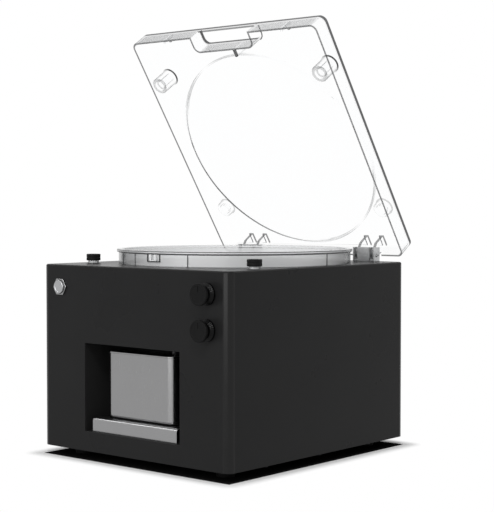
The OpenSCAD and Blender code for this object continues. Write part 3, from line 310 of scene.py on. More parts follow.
def addCamera():
    data = bpy.data.cameras.new("photoCamera")
    data.sensor_fit = "VERTICAL"
    data.sensor_height = photoView["sensor"]
    data.lens = photoView["focalPixels"] * photoView["sensor"] / photoView["pixelsHigh"]
    data.clip_end = photoView["farthest"]
    camera = bpy.data.objects.new("photoCamera", data)
    camera.location = Vector(photoView["eye"]) * mm
    camera.rotation_euler = Vector(photoView["look"]).to_track_quat("-Z", "Y").to_euler()
    bpy.context.scene.collection.objects.link(camera)
    bpy.context.scene.camera = camera


addCamera()
print("camera set")


# Node helpers

def addNode(tree, kind, **values):
    node = tree.nodes.new(kind)
    for key, value in values.items():
        setattr(node, key, value)
    return node


# inputs of a node, by name or number, take links or plain values
def feed(tree, node, values):
    for key, value in values.items():
        if isinstance(value, bpy.types.NodeSocket):
            tree.links.new(value, node.inputs[key])
        else:
            node.inputs[key].default_value = value


def mathNode(tree, operation, *values):
    node = addNode(tree, "ShaderNodeMath", operation=operation)
    feed(tree, node, dict(enumerate(values)))
    return node.outputs[0]


# limits: from low, from high, to low, to high
def mapped(tree, value, *limits, smooth=False):
    node = addNode(tree, "ShaderNodeMapRange", interpolation_type="SMOOTHSTEP" if smooth else "LINEAR")
    feed(tree, node, dict(zip(("Value", "From Min", "From Max", "To Min", "To Max"), (value, *limits))))
    return node.outputs["Result"]


def mixColor(tree, factor, first, second):
    node = addNode(tree, "ShaderNodeMix", data_type="RGBA")
    feed(tree, node, {0: factor, 6: first, 7: second})  # 6 and 7 are its colours
    return node.outputs[2]


# noise with features of about size millimetres
def noise(tree, spot, size, detail, roughness=0.5):
    node = addNode(tree, "ShaderNodeTexNoise")
    scale = mathNode(tree, "DIVIDE", 1 / mm, size)
    feed(tree, node, {"Vector": spot, "Scale": scale, "Detail": detail, "Roughness": roughness})
    return node.outputs["Fac"]


def newGroup(name, inputs, outputs):
    group = bpy.data.node_groups.new(name, "ShaderNodeTree")
    for key, kind, value in inputs:
        socket = group.interface.new_socket(name=key, in_out="INPUT", socket_type=kind)
        socket.default_value = value
    for key in outputs:
        group.interface.new_socket(name=key, in_out="OUTPUT", socket_type="NodeSocketFloat")
    return group, group.nodes.new("NodeGroupInput").outputs, group.nodes.new("NodeGroupOutput")


def useGroup(tree, group, **values):
    node = addNode(tree, "ShaderNodeGroup", node_tree=group)
    feed(tree, node, values)
    return node.outputs


# Shared effects

# moulded or sprayed grain: a height and a slow change of shade
def makeGrain():
    sizes = [("grainSize", "NodeSocketFloat", 0.5), ("patchSize", "NodeSocketFloat", 60.0)]
    group, given, result = newGroup("surfaceGrain", sizes, ["height", "patches"])
    spot = addNode(group, "ShaderNodeTexCoord").outputs["Object"]
    fine = noise(group, spot, given["grainSize"], 3, 0.6)
    slow = noise(group, spot, given["patchSize"], 4)
    feed(group, result, {"height": fine, "patches": mapped(group, slow, 0.3, 0.7, 0, 1)})
    return group


# lines of a brushed sheet, drawn out along one direction
def makeBrush():
    sizes = [("stretch", "NodeSocketVector", (1.0, 1.0, 1.0)), ("lineSize", "NodeSocketFloat", 0.4)]
    group, given, result = newGroup("brushLines", sizes, ["lines", "height"])
    drawn = addNode(group, "ShaderNodeVectorMath", operation="MULTIPLY")
    spot = addNode(group, "ShaderNodeTexCoord").outputs["Object"]
    feed(group, drawn, {0: spot, 1: given["stretch"]})
    fine = noise(group, drawn.outputs[0], given["lineSize"], 4, 0.65)
    feed(group, result, {"height": fine, "lines": mapped(group, fine, 0.25, 0.75, 0, 1)})
    return group


grainGroup, brushGroup = makeGrain(), makeBrush()
print("shared effects made")


# Finishes
roughSpread = 0.05  # how far roughness strays over a surface
wear = {"grain": 1.0, "patch": 45, "most": 0.25, "tone": 0.9}  # duller patches on brushed metal
moulded = {"ripple": 6.0, "patch": 40, "depth": 0.004}  # slow ripple of clear mouldings


def newFinish(name):
    material = bpy.data.materials.new(name)
    material.use_nodes = True
    return material, material.node_tree, material.node_tree.nodes["Principled BSDF"]


def shade(color, factor):
    return tuple(min(1, part * factor) for part in color) + (1,)


# a colour that strays by spread to both sides
def mottled(tree, mask, color, spread):
    return mixColor(tree, mask, shade(color, 1 - spread), shade(color, 1 + spread))


def bumped(tree, height, depth):
    bump = addNode(tree, "ShaderNodeBump")
    feed(tree, bump, {"Distance": depth * mm, "Height": height})
    return bump.outputs["Normal"]


# a solid surface with grain and slow patches
def grainFinish(name, color, rough, metal, specular, grain, depth, patch, spread):
    material, tree, shader = newFinish(name)
    effect = useGroup(tree, grainGroup, grainSize=grain, patchSize=patch)
    feed(tree, shader, {
        "Base Color": mottled(tree, effect["patches"], color, spread),
        "Roughness": mapped(tree, effect["patches"], 0, 1, rough - roughSpread, rough + roughSpread),
        "Normal": bumped(tree, effect["height"], depth),
        "Metallic": metal,
        "Specular IOR Level": specular,
    })
    return material


# metal with lines brushed along one direction
def brushedFinish(name, color, rough, stretch, size=0.4, depth=0.006, spread=0.1):
    material, tree, shader = newFinish(name)
    effect = useGroup(tree, brushGroup, stretch=stretch, lineSize=size)
    patches = useGroup(tree, grainGroup, grainSize=wear["grain"], patchSize=wear["patch"])["patches"]
    lines = mottled(tree, effect["lines"], color, spread)
    worn = mapped(tree, patches, 0, 1, 0, wear["most"])
    feed(tree, shader, {
        "Base Color": mixColor(tree, worn, lines, shade(color, wear["tone"])),
        "Roughness": mapped(tree, effect["lines"], 0, 1, rough + roughSpread, rough - roughSpread),
        "Normal": bumped(tree, effect["height"], depth),
        "Metallic": 1.0,
    })
    return material


def mixSurface(tree, share, first, second):
    mix = addNode(tree, "ShaderNodeMixShader")
    feed(tree, mix, {0: share, 1: first.outputs[0], 2: second.outputs[0]})
    feed(tree, tree.nodes["Material Output"], {"Surface": mix.outputs[0]})


# the shader takes its share of a clear surface
def overClear(tree, shader, share, tint=(1.0, 1.0, 1.0)):
    clear = addNode(tree, "ShaderNodeBsdfTransparent")
    clear.inputs["Color"].default_value = tint + (1,)
    mixSurface(tree, share, clear, shader)


def facingValue(tree):
    return addNode(tree, "ShaderNodeLayerWeight").outputs["Facing"]


def behindValue(tree):
    return addNode(tree, "ShaderNodeNewGeometry").outputs["Backfacing"]


def frontValue(tree):
    return mathNode(tree, "SUBTRACT", 1.0, behindValue(tree))


def mouldedSurface(tree, shader, tone, rough):
    effect = useGroup(tree, grainGroup, grainSize=moulded["ripple"], patchSize=moulded["patch"])
    feed(tree, shader, {
        "Base Color": tone,
        "Roughness": mapped(tree, effect["patches"], 0, 1, rough, rough + roughSpread),
        "Normal": bumped(tree, effect["height"], moulded["depth"]),
    })


clearLook = {
    "tint": (0.998, 0.999, 1.0), "tone": (0.16, 0.165, 0.17),
    "from": 0.46,  # facing value at which a face starts to show
    "to": 1.0, "least": 0.002, "most": 0.85, "rough": 0.06,
}
clearEdge = {
    "grain": 2.0, "patch": 25, "spread": 0.3, "rough": 0.3, "specular": 0.15, "from": 0.15, "to": 0.75,
}
milkyLook = {
    "tint": (0.97, 0.98, 0.98), "tone": (0.66, 0.665, 0.67),
    "shadeTone": (0.13, 0.132, 0.135),  # where the wall turns away
    "from": 0.12, "to": 0.78, "share": 0.88,
    "shadow": 0.15,  # share of the light that the wall holds back
    "rough": 0.16,
}
paleLook = {
    "tint": (0.98, 0.985, 0.99), "tone": (0.93, 0.935, 0.94), "shadeTone": (0.5, 0.505, 0.51),
    "from": 0.3, "to": 0.95, "share": 0.8, "shadow": 0.1, "rough": 0.16,
}


# clear moulding: see-through face on, greyer as a face turns away
def clearFinish(name, look):
    material, tree, shader = newFinish(name)
    mouldedSurface(tree, shader, look["tone"] + (1,), look["rough"])
    limits = look["from"], look["to"], look["least"], look["most"]
    overClear(tree, shader, mapped(tree, facingValue(tree), *limits, smooth=True), look["tint"])
    return material


# cut and rounded edges of a clear moulding gather less light and look grey; the shares of the tone are
# for a face seen straight on, at a glancing angle and from behind
def clearEdgeFinish(name, tone, faceOn, glancing, behind=0.0):
    material, tree, shader = newFinish(name)
    effect = useGroup(tree, grainGroup, grainSize=clearEdge["grain"], patchSize=clearEdge["patch"])
    feed(tree, shader, {
        "Base Color": mottled(tree, effect["patches"], tone, clearEdge["spread"]),
        "Roughness": clearEdge["rough"],
        "Specular IOR Level": clearEdge["specular"],
    })
    share = mapped(tree, facingValue(tree), clearEdge["from"], clearEdge["to"], faceOn, glancing)
    share = mathNode(tree, "MULTIPLY", share, frontValue(tree))
    if behind:
        share = mathNode(tree, "ADD", share, mathNode(tree, "MULTIPLY", behindValue(tree), behind))
    overClear(tree, shader, share)
    return material


# thick cloudy wall: pale face on, dark where it curves away, clear from inside
def milkyFinish(name, look):
    material, tree, shader = newFinish(name)
    turning = mapped(tree, facingValue(tree), look["from"], look["to"], 0, 1, smooth=True)
    tone = mixColor(tree, turning, shade(look["tone"], 1), shade(look["shadeTone"], 1))
    mouldedSurface(tree, shader, tone, look["rough"])
    shadowRay = addNode(tree, "ShaderNodeLightPath").outputs["Is Shadow Ray"]
    held = mapped(tree, shadowRay, 0, 1, look["share"], look["shadow"])
    overClear(tree, shader, mathNode(tree, "MULTIPLY", frontValue(tree), held), look["tint"])
    return material


# colour, roughness, metal, specular, grain's size and depth, size of the patches, spread of the shade
grainTable = {
    "satinBlackPaint": ((0.0118, 0.0118, 0.012), 0.3, 0.0, 0.08, 0.35, 0.008, 90, 0.05),
    # the bends' paint: real gloss, and a darker colour that is painted shade beside the highlight
    "handledBlackPaint": ((0.003, 0.003, 0.0031), 0.2, 0.0, 0.24, 0.35, 0.004, 90, 0.05),
    "recessBlack": ((0.014, 0.014, 0.014), 0.5, 0.0, 0.1, 0.35, 0.012, 60, 0.08),
    "hingeSteel": ((0.52, 0.525, 0.53), 0.38, 0.7, 0.5, 0.4, 0.008, 9, 0.08),
    "zincPlated": ((0.45, 0.46, 0.46), 0.32, 1.0, 0.5, 0.4, 0.006, 4, 0.08),
    # near-black for the base screws, as painted shade
    "blackOxide": ((0.02, 0.02, 0.021), 0.45, 1.0, 0.5, 0.4, 0.006, 4, 0.08),
    "knobGloss": ((0.002, 0.002, 0.0021), 0.2, 0.0, 0.1, 0.8, 0.003, 12, 0.08),
    "knobFace": ((0.006, 0.006, 0.0061), 0.5, 0.0, 0.06, 0.25, 0.015, 12, 0.08),
    "blackRubber": ((0.0045, 0.0045, 0.0045), 0.6, 0.0, 0.12, 0.3, 0.02, 8, 0.08),
    "whiteNylon": ((0.78, 0.78, 0.77), 0.45, 0.0, 0.5, 0.5, 0.01, 12, 0.03),
    "paleSilicone": ((0.7, 0.7, 0.69), 0.5, 0.0, 0.5, 0.6, 0.01, 15, 0.03),
    "gripCoating": ((0.15, 0.155, 0.16), 0.75, 0.0, 0.5, 0.7, 0.25, 6, 0.25),
    "castAluminium": ((0.5, 0.505, 0.51), 0.42, 1.0, 0.5, 0.8, 0.06, 20, 0.08),
    "motorEnamel": ((0.12, 0.125, 0.13), 0.4, 0.0, 0.5, 0.6, 0.03, 30, 0.08),
    "darkAnodised": ((0.07, 0.073, 0.076), 0.35, 1.0, 0.5, 0.4, 0.01, 15, 0.08),
    "boardGreen": ((0.014, 0.095, 0.04), 0.35, 0.0, 0.5, 1.2, 0.02, 6, 0.25),
    "darkMoulding": ((0.012, 0.012, 0.0125), 0.42, 0.0, 0.5, 0.4, 0.02, 15, 0.08),
    "galvanisedSheet": ((0.32, 0.33, 0.34), 0.38, 1.0, 0.5, 3.0, 0.01, 14, 0.2),
}
grainy = {name: grainFinish(name, *values) for name, values in grainTable.items()}
clearPlastic = clearFinish("clearMoulding", clearLook)
plateEdge = clearEdgeFinish("clearPlateEdge", (0.055, 0.056, 0.058), faceOn=0.93, glancing=0.93)
rimEdge = clearEdgeFinish("clearRimEdge", (0.09, 0.092, 0.095), faceOn=0.8, glancing=0.8)
softEdge = clearEdgeFinish("clearSoftEdge", (0.10, 0.104, 0.108), faceOn=0.35, glancing=0.35)
ridgeEdge = clearEdgeFinish("clearRidgeEdge", (0.02, 0.021, 0.022), faceOn=0.95, glancing=0.05)
lugEdge = clearEdgeFinish("clearLugEdge", (0.08, 0.083, 0.086), faceOn=0.75, glancing=0.75, behind=0.65)
milkyPlastic = milkyFinish("milkyMoulding", milkyLook)
paleWall = milkyFinish("paleMoulding", paleLook)
steelUpright = brushedFinish("stainlessUpright", (0.27, 0.27, 0.272), 0.24, (1.0, 1.0, 0.02),
                             depth=0.002, spread=0.04)
steelAcross = brushedFinish("stainlessAcross", (0.28, 0.28, 0.283), 0.24, (0.02, 1.0, 1.0),
                            depth=0.002, spread=0.05)
steelTurned = brushedFinish("turnedSteel", (0.38, 0.384, 0.39), 0.22, (1.0, 1.0, 0.1), size=0.3)

# the finish of each of the record's material slots
slotFinish = {
    "satin_black_paint": grainy["satinBlackPaint"],
    "recess_black": grainy["recessBlack"],
    "clear_plastic": clearPlastic,
    "stainless": steelUpright,
    "bright_steel": steelTurned,
    "hinge_steel": grainy["hingeSteel"],
    "zinc_screw": grainy["zincPlated"],
    "gloss_black_plastic": grainy["knobGloss"],
    "black_rubber": grainy["blackRubber"],
    "white_nylon": grainy["whiteNylon"],
    "pale_silicone": grainy["paleSilicone"],
    "grip_coating": grainy["gripCoating"],
    "cast_aluminium": grainy["castAluminium"],
    "motor_grey": grainy["motorEnamel"],
    "dark_pulley": grainy["darkAnodised"],
    "board_green": grainy["boardGreen"],
    "dark_plastic": grainy["darkMoulding"],
    "galvanised_sheet": grainy["galvanisedSheet"],
}
nodeSlot = {part["node"]: part["material_slot"] for part in frame["record"]["subparts"]}
for nodeName, nodeObject in frame["nodes"].items():
    nodeObject.data.materials.clear()
    nodeObject.data.materials.append(slotFinish[nodeSlot[nodeName]])
frame["nodes"]["base_screws"].data.materials[0] = grainy["blackOxide"]  # near-black in place of their zinc: painted shade that hides them in the painted shadow under the cabinet
print("finishes made:", len(slotFinish))


# Cabinet, folded and welded from sheet
cabinet = {
    "sheet": 1.5, "corner": 10.5, "leastCorner": 0.4, "topRound": 2.5, "lowRound": 0.6, "innerBevel": 1,
    "flange": 12, "tankHole": 152,
    "openingWidth": 174, "openingTop": 157.3, "openingCorner": 1.2,
    "rearLap": 14, "bushHole": 4.3, "buttonHole": 10,
    "cutPast": 4,  # reach of the cutters past the sheet
    "edge": 0.5, "flatFrom": 12,
    "bendFrom": 0.03,  # lean of a normal from which a face belongs to a bend
    "uprightTo": 0.1,
}
cabinetBox = nodeBox("cabinet_shell")
shelfBox = nodeBox("bin_shelf")
tankMiddle = middle(nodeBox("tank"))
cabinetFinishes = {"panel": grainy["satinBlackPaint"], "bend": grainy["handledBlackPaint"]}


def cabinetLoop(inset, z):
    return boxLoop(cabinetBox, inset, max(cabinet["corner"] - inset, cabinet["leastCorner"]), z)


def buildCabinet():
    low, high = cabinetBox[0].z, cabinetBox[1].z
    front, back = cabinetBox[0].y, cabinetBox[1].y
    sheet, soft, foot, bevel = (cabinet[key] for key in ("sheet", "topRound", "lowRound", "innerBevel"))
    lip = sheet + cabinet["flange"]
    profile = [(sheet + bevel, high - sheet), (sheet, high - sheet - bevel)]
    profile += [(sheet, low + sheet), (lip, low + sheet), (lip, low)]
    profile += roundOver(0, low, foot, foot, 4) + roundOver(0, high, soft, -soft, 6, fromSide=True)
    shell = skinLoops("cabinetShell", [cabinetLoop(*spot) for spot in profile])
    reach = sheet + cabinet["cutPast"]
    top, sill = cabinet["openingTop"], shelfBox[0].z
    mouth = roundedRect(cabinet["openingWidth"], top - sill, cabinet["openingCorner"], 4)
    cuts = [facingFront(raised("mouth", mouth, -reach, reach), 0, front, (top + sill) / 2)]
    cuts.append(shifted(drill(cabinet["tankHole"], -reach, reach, 160), tankMiddle.x, tankMiddle.y, high))
    holes = {"speed_knob": "bushHole", "timer_knob": "bushHole", "button_bezel": "buttonHole"}
    for node, size in holes.items():
        centre = middle(nodeBox(node))
        cuts.append(facingFront(drill(cabinet[size], -reach, reach, 40), centre.x, front, centre.z))
    rear, lap = nodeBox("rear_panel"), cabinet["rearLap"]
    cuts.append(block((rear[0].x + lap, back - reach, rear[0].z + lap),
                      (rear[1].x - lap, back + reach, rear[1].z - lap)))
    combined(shell, cuts, "DIFFERENCE")
    eased(shell, cabinet["edge"], limit=50, steps=3, flatFrom=cabinet["flatFrom"])

    def panelOrBend(spot, normal):  # the bends take a glossier paint whose darker colour is painted shade
        leans = min(abs(normal.x), abs(normal.y)) > cabinet["bendFrom"]
        upright = abs(normal.z) < cabinet["uprightTo"]
        return "bend" if leans and upright and spot.z < high - soft else "panel"

    marked(shell, cabinetFinishes, panelOrBend)
    finished(shell, "chassis", "satin_black_paint", cabinetFinishes, "cabinet_shell")


buildCabinet()
print("cabinet built")


# Clear lid, modelled closed and then swung open about its hinge
lid = {
    "height": 29, "plate": 4, "skirt": 2.5, "corner": 10, "leastCorner": 0.3, "topRound": 2.4,
    "rimRound": 0.9, "innerRound": 1.4, "edge": 0.45, "flatFrom": 12,
    "edgeBand": 6.5,  # from the top down, the plate's edge that shows as a dark line
    "notchWidth": 104, "notchDepth": 23, "notchCorner": 8,
    "mouthCorner": 0.3,
    "gripHeight": 10,  # bar that closes the notch at the front
    "bossRadius": 12.2, "bossBore": 8.2,
    "bossLedge": 6,  # narrower bore past the ledge
    "bossLedgeDeep": 6,
    "bossRounds": [0, 0, 0.3, 0.3, 0.84, 1.2, 0, 0, 0, 0],  # of the section's corners, in their order
    "bossFoot": 1.6, "bossRearHeight": 10, "bossRearInset": 70, "bossGap": 0.4,
    "ridgeHeight": 7,
    "ridgeEdge": 2.5,  # lower part of the ridge that shows as a line
    "ridgeThick": 2,
    "ridgeInset": 4.5,  # from the collar's rim in to the ridge
    "finThick": 3.5, "finX": 16, "finDrop": 1, "finEdge": 4,
    "finGap": 1.5,  # from the fin back to the collar
    "ribX": (-108, 108), "ribThick": 3.5, "ribDeep": 5, "ribDrop": 3,
    "nubX": (-92, 124),  # small feet on the front rim
    "nubHalf": 1.6, "nubHigh": 2.5, "nubDrop": 0.3,
    "lugThick": 5, "lugPitch": 27, "lugRadius": 5, "lugReach": 12, "lugNose": 4,
    "lugRounds": [1.5, 2.4, 0, 0, 0], "lugSteps": 14, "lugFoot": 1.2, "lugFootHeight": 2,
    "pinHole": 2.05, "pinReach": 9, "skirtCutWidth": 41.6, "skirtCutHeight": 9, "cutPast": 1,
}
# what tells the lid's faces apart: millimetres, and shares of a normal
lidMarks = {
    "underPlate": 0.01, "lugSide": 0.6, "footSide": 0.3,
    "bossSide": 0.05, "bossRoot": 0.3, "bossEnd": 0.15,
    "nubFront": 0.5, "ridgeSide": 0.2, "inward": 0.3, "underGrip": 0.5, "upright": 0.9,
}
lidFinishes = {
    "clear": clearPlastic, "plate": plateEdge, "rim": rimEdge, "soft": softEdge, "ridge": ridgeEdge,
    "lug": lugEdge, "rib": paleWall,
}
lidJoint = next(joint for joint in frame["joints"] if joint["name"] == "lid_hinge")
hinge = Vector(lidJoint["pos_m"]) / mm
lidOpen = math.radians(lidJoint["range_deg"][0])
swing = Matrix.Translation(hinge * mm) @ Matrix.Rotation(lidOpen, 4, "X") @ Matrix.Translation(-hinge * mm)
shut = swing.inverted()
lidBox = boxAround([shut @ vertex.co for vertex in frame["nodes"]["lid"].data.vertices])
collarBox = nodeBox("feed_collar")
collarRim = (collarBox[1].x - collarBox[0].x) / 2
hingeX = middle(nodeBox("hinge_bracket_right")).x
bumperBox = nodeBox("bumper_cap_right")
bumperMiddle = middle(bumperBox)
lidTop = lidBox[1].z
lidLow = lidTop - lid["height"]
plateLow = lidTop - lid["plate"]
plateMiddle = lidTop - lid["plate"] / 2
ridgeOut = collarRim - lid["ridgeInset"]
bossRearY = lidBox[1].y - lid["bossRearInset"]
bossSpots = [(side * bumperMiddle.x, y) for side in (-1, 1) for y in (bumperMiddle.y, bossRearY)]


def lidLoop(inset, z):
    x, y = lidBox[1].x - inset, lidBox[1].y - inset
    notchX = lid["notchWidth"] / 2 + inset
    notchY = -lidBox[1].y + lid["notchDepth"] + inset
    outer = max(lid["corner"] - inset, lid["leastCorner"])
    inner, mouth = lid["notchCorner"] + inset, lid["mouthCorner"]
    points = [(-x, -y), (-notchX, -y), (-notchX, notchY), (notchX, notchY), (notchX, -y)]
    points += [(x, -y), (x, y), (-x, y)]
    radii = [outer, mouth, inner, inner, mouth, outer, outer, outer]
    return [(px, py, z) for px, py in filleted(points, radii, 9)]


def lidShell():
    top, rim, inside, skirt = (lid[key] for key in ("topRound", "rimRound", "innerRound", "skirt"))
    profile = roundOver(0, lidTop, top, -top, 6) + [(0, lidTop - lid["edgeBand"])]
    profile += roundOver(0, lidLow, rim, rim, 4, fromSide=True) + roundOver(skirt, lidLow, -rim, rim, 4)
    profile += roundOver(skirt, plateLow, inside, -inside, 5, fromSide=True)
    return skinLoops("lidMoulding", [lidLoop(*spot) for spot in profile])


def lidBoss(x, y, low):
    outer, bore, narrow, foot = (lid[key] for key in ("bossRadius", "bossBore", "bossLedge", "bossFoot"))
    ledge = low + lid["bossLedgeDeep"]
    corners = [(0, plateLow), (narrow, plateLow), (narrow, ledge), (bore, ledge), (bore, low), (outer, low)]
    corners += [(outer, plateLow - foot), (outer + foot, plateLow)]
    corners += [(outer + foot, plateMiddle), (0, plateMiddle)]
    section = filleted(corners, lid["bossRounds"], 4)
    return shifted(turned("boss", section, steps=64), x, y, 0)


def lidRidge():
    inner, low = ridgeOut - lid["ridgeThick"], plateLow - lid["ridgeHeight"]
    edge = low + lid["ridgeEdge"]
    section = [(inner, edge), (inner, low), (ridgeOut, low), (ridgeOut, edge), (ridgeOut, plateMiddle)]
    section.append((inner, plateMiddle))
    return shifted(turned("ridge", section, closed=True, steps=192), tankMiddle.x, tankMiddle.y, 0)


def lidLug(x):
    radius, reach, height = lid["lugRadius"], lid["lugReach"], plateLow - hinge.z
    root, half, pin = height + lid["plate"] / 2, lid["lugThick"] / 2, lid["pinReach"]
    corners = [(-radius, 0), (-reach, height / 2 - lid["lugNose"] / 2), (-reach, root)]
    corners += [(radius, root), (radius, 0)]
    outline = filleted(corners, lid["lugRounds"], 5)
    for k in range(1, lid["lugSteps"]):
        angle = math.pi * k / lid["lugSteps"]
        outline.append((radius * math.cos(angle), -radius * math.sin(angle)))
    lug = raised("lug", outline, -half, half)
    combined(lug, [drill(lid["pinHole"], -pin, pin, 32)], "DIFFERENCE")
    return shifted(place(lug, alongX), x, hinge.y, hinge.z)


def lidLugFoot(x):
    wide = lid["lugThick"] / 2 + lid["lugFoot"]
    front = hinge.y - lid["lugReach"] - lid["lugFoot"]
    back, low = lidBox[1].y - lid["skirt"] / 2, plateLow - lid["lugFootHeight"]
    return slab(x, wide, front, back, low, plateMiddle)


# bar across the notch's mouth, with the lid's own front edge
def lidGrip():
    front, top, low = lidBox[0].y, lid["topRound"], lidTop - lid["gripHeight"]
    back, half = front + lid["skirt"], lid["notchWidth"] / 2 + lid["skirt"]
    outline = [(back, low), (back, lidTop)] + roundOver(front, lidTop, top, -top, 6)
    outline += [(front, lidTop - lid["edgeBand"]), (front, low)]
    return place(raised("grip", outline, -half, half), alongX)


# which finish a face of the closed lid takes
def lidFaceFinish(spot, normal):
    front, skirt = lidBox[0].y, lid["skirt"]
    under = spot.z < plateLow - lidMarks["underPlate"]
    lugGap = abs(abs(abs(spot.x) - hingeX) - lid["lugPitch"] / 2) - lid["lugThick"] / 2
    nearLug = spot.y > hinge.y - lid["lugReach"] - lid["lugFoot"] - slack
    if under and nearLug and lugGap < lid["lugFoot"] + slack:
        atFoot = spot.z > plateLow - lid["lugFootHeight"] - slack
        onRim = lugGap < slack and abs(normal.x) < lidMarks["lugSide"]
        return "lug" if onRim or atFoot and abs(normal.x) > lidMarks["footSide"] else "clear"
    reach = min(math.hypot(spot.x - x, spot.y - y) for x, y in bossSpots)
    if under and reach < lid["bossRadius"] + lid["bossFoot"]:
        rear = spot.y > 0
        atRoot = spot.z > plateLow - lid["bossFoot"] - lidMarks["bossRoot"]
        if atRoot and reach > lid["bossRadius"] - lidMarks["bossSide"]:
            return "soft" if rear else "ridge"
        onEnd = normal.z < -lidMarks["bossEnd"] and reach > lid["bossLedge"] - lidMarks["bossSide"]
        return "soft" if onEnd and not rear else "clear"
    inFin = under and abs(spot.x - lid["finX"]) < lid["finThick"] / 2 + slack
    if inFin and spot.y > front + lid["notchDepth"] + skirt and spot.z < lidLow + lid["finEdge"]:
        return "plate"
    nubGap = min(abs(spot.x - x) for x in lid["nubX"])
    onNub = nubGap < lid["nubHalf"] + slack and spot.z < lidLow + lid["nubHigh"] + slack
    if onNub and front + skirt - lidMarks["nubFront"] < spot.y < front + skirt + lid["nubHigh"]:
        return "rim"
    if spot.z < lidLow + lid["rimRound"] + slack:
        return "rim"
    ring = Vector((spot.x - tankMiddle.x, spot.y - tankMiddle.y))
    half = lid["ridgeThick"] / 2
    if under and abs(ring.length - ridgeOut + half) < half + lidMarks["ridgeSide"]:
        inward = normal.xy.dot(ring) < -lidMarks["inward"] * ring.length
        edge = plateLow - lid["ridgeHeight"] + lid["ridgeEdge"]
        return "ridge" if inward and spot.z < edge else "clear"
    onRib = under and min(abs(spot.x - x) for x in lid["ribX"]) < lid["ribThick"] / 2 + slack
    if onRib and front + skirt < spot.y < front + skirt + lid["ribDeep"]:
        return "rib"
    inNotch = abs(spot.x) < lid["notchWidth"] / 2 + skirt
    if inNotch and spot.y < front + skirt and normal.z < -lidMarks["underGrip"]:
        return "lug"
    if spot.z > lidTop - lid["edgeBand"] and abs(normal.z) < lidMarks["upright"]:
        besideNotch = inNotch and spot.y < front + lid["notchDepth"] + skirt
        return "plate" if besideNotch or normal.xy.dot(spot.xy) > 0 else "clear"
    return "clear"


def buildLid():
    moulding = lidShell()
    past, half = lid["cutPast"], lid["skirtCutWidth"] / 2
    cuts = []
    for side in (-1, 1):
        cuts.append(slab(side * hingeX, half, lidBox[1].y - lid["skirt"] - past, lidBox[1].y + past,
                         lidLow - past, lidLow + lid["skirtCutHeight"]))
    combined(moulding, cuts, "DIFFERENCE")
    parts = [lidRidge(), lidGrip()]
    for side in (-1, 1):
        parts.append(lidBoss(side * bumperMiddle.x, bumperMiddle.y, bumperBox[1].z + lid["bossGap"]))
        parts.append(lidBoss(side * bumperMiddle.x, bossRearY, plateLow - lid["bossRearHeight"]))
        for lug in (-0.5, 0.5):
            lugX = side * hingeX + lug * lid["lugPitch"]
            parts += [lidLug(lugX), lidLugFoot(lugX)]
    finFront = -lidBox[1].y + lid["notchDepth"] + lid["skirt"] / 2
    finBack = collarBox[0].y - lid["finGap"]
    levels = (lidLow + lid["finDrop"], lidLow + lid["finEdge"], plateMiddle)
    for low, high in zip(levels, levels[1:]):
        parts.append(slab(lid["finX"], lid["finThick"] / 2, finFront, finBack, low, high))
    frontIn = -lidBox[1].y + lid["skirt"] / 2
    for x in lid["ribX"]:
        parts.append(slab(x, lid["ribThick"] / 2, frontIn, frontIn + lid["ribDeep"],
                          lidLow + lid["ribDrop"], plateMiddle))
    for x in lid["nubX"]:
        parts.append(slab(x, lid["nubHalf"], frontIn, frontIn + lid["nubHigh"],
                          lidLow + lid["nubDrop"], lidLow + lid["nubHigh"]))
    combined(moulding, parts, "UNION")
    eased(moulding, lid["edge"], limit=55, flatFrom=lid["flatFrom"])
    marked(moulding, lidFinishes, lidFaceFinish)
    place(moulding, swing)
    finished(moulding, "lid", "clear_plastic", lidFinishes, "lid")


buildLid()
print("lid built")


# Clear collar round the tank's mouth
collar = {
    "wall": 3, "rim": 4, "overhang": 2.5, "inhang": 2,
    "rounds": [0.3, 0.3, 0.8, 0.7, 0, 0, 1.1, 1.1, 0.7, 0.8],  # of the section's corners, in their order
    "edge": 0.2,
    "ribWidth": 1.2, "ribOut": 0.8, "ribAngles": (-118, -104, -71, 0, 180),
    "intoRim": 1,  # how far ribs and frame run up into the rim
    "frameHalf": 11,  # thin frame round the latch keeper
    "frameThick": 1.1, "frameOut": 1.6, "frameDrop": 1.2,
    "sillPieces": 5, "sillLap": 0.3, "rimTopBand": 1.2, "rimLowBand": 1.4,
}
# heights and shares of a normal that tell the collar's faces apart
collarMarks = {"underRim": 0.9, "outside": 0.5, "side": 0.2, "square": 0.95}
collarFinishes = {
    "wall": milkyPlastic, "line": plateEdge, "soft": softEdge, "inside": paleWall, "top": clearPlastic,
}


# a bar on the collar's wall, turned to its place
def collarBar(outer, out, half, low, high, angle):
    bar = block((outer - collar["wall"] / 2, -half, low), (outer + out, half, high))
    return place(bar, Matrix.Rotation(angle, 4, "Z"))


def keeperFrame(outer, top):
    keeperBox = nodeBox("latch_keeper")
    spot = middle(keeperBox) - tankMiddle
    towards, reach = math.atan2(spot.y, spot.x), collar["frameHalf"] / outer
    low, thick, out = keeperBox[0].z - collar["frameDrop"], collar["frameThick"], collar["frameOut"]
    bars = []
    for side in (-1, 1):
        bars.append(collarBar(outer, out, thick / 2, low, top, towards + side * reach))
    pieces = collar["sillPieces"]
    half = collar["frameHalf"] / pieces + collar["sillLap"]
    for k in range(pieces):
        angle = towards + reach * (2 * k + 1 - pieces) / pieces
        bars.append(collarBar(outer, out, half, low, low + thick, angle))
    return bars


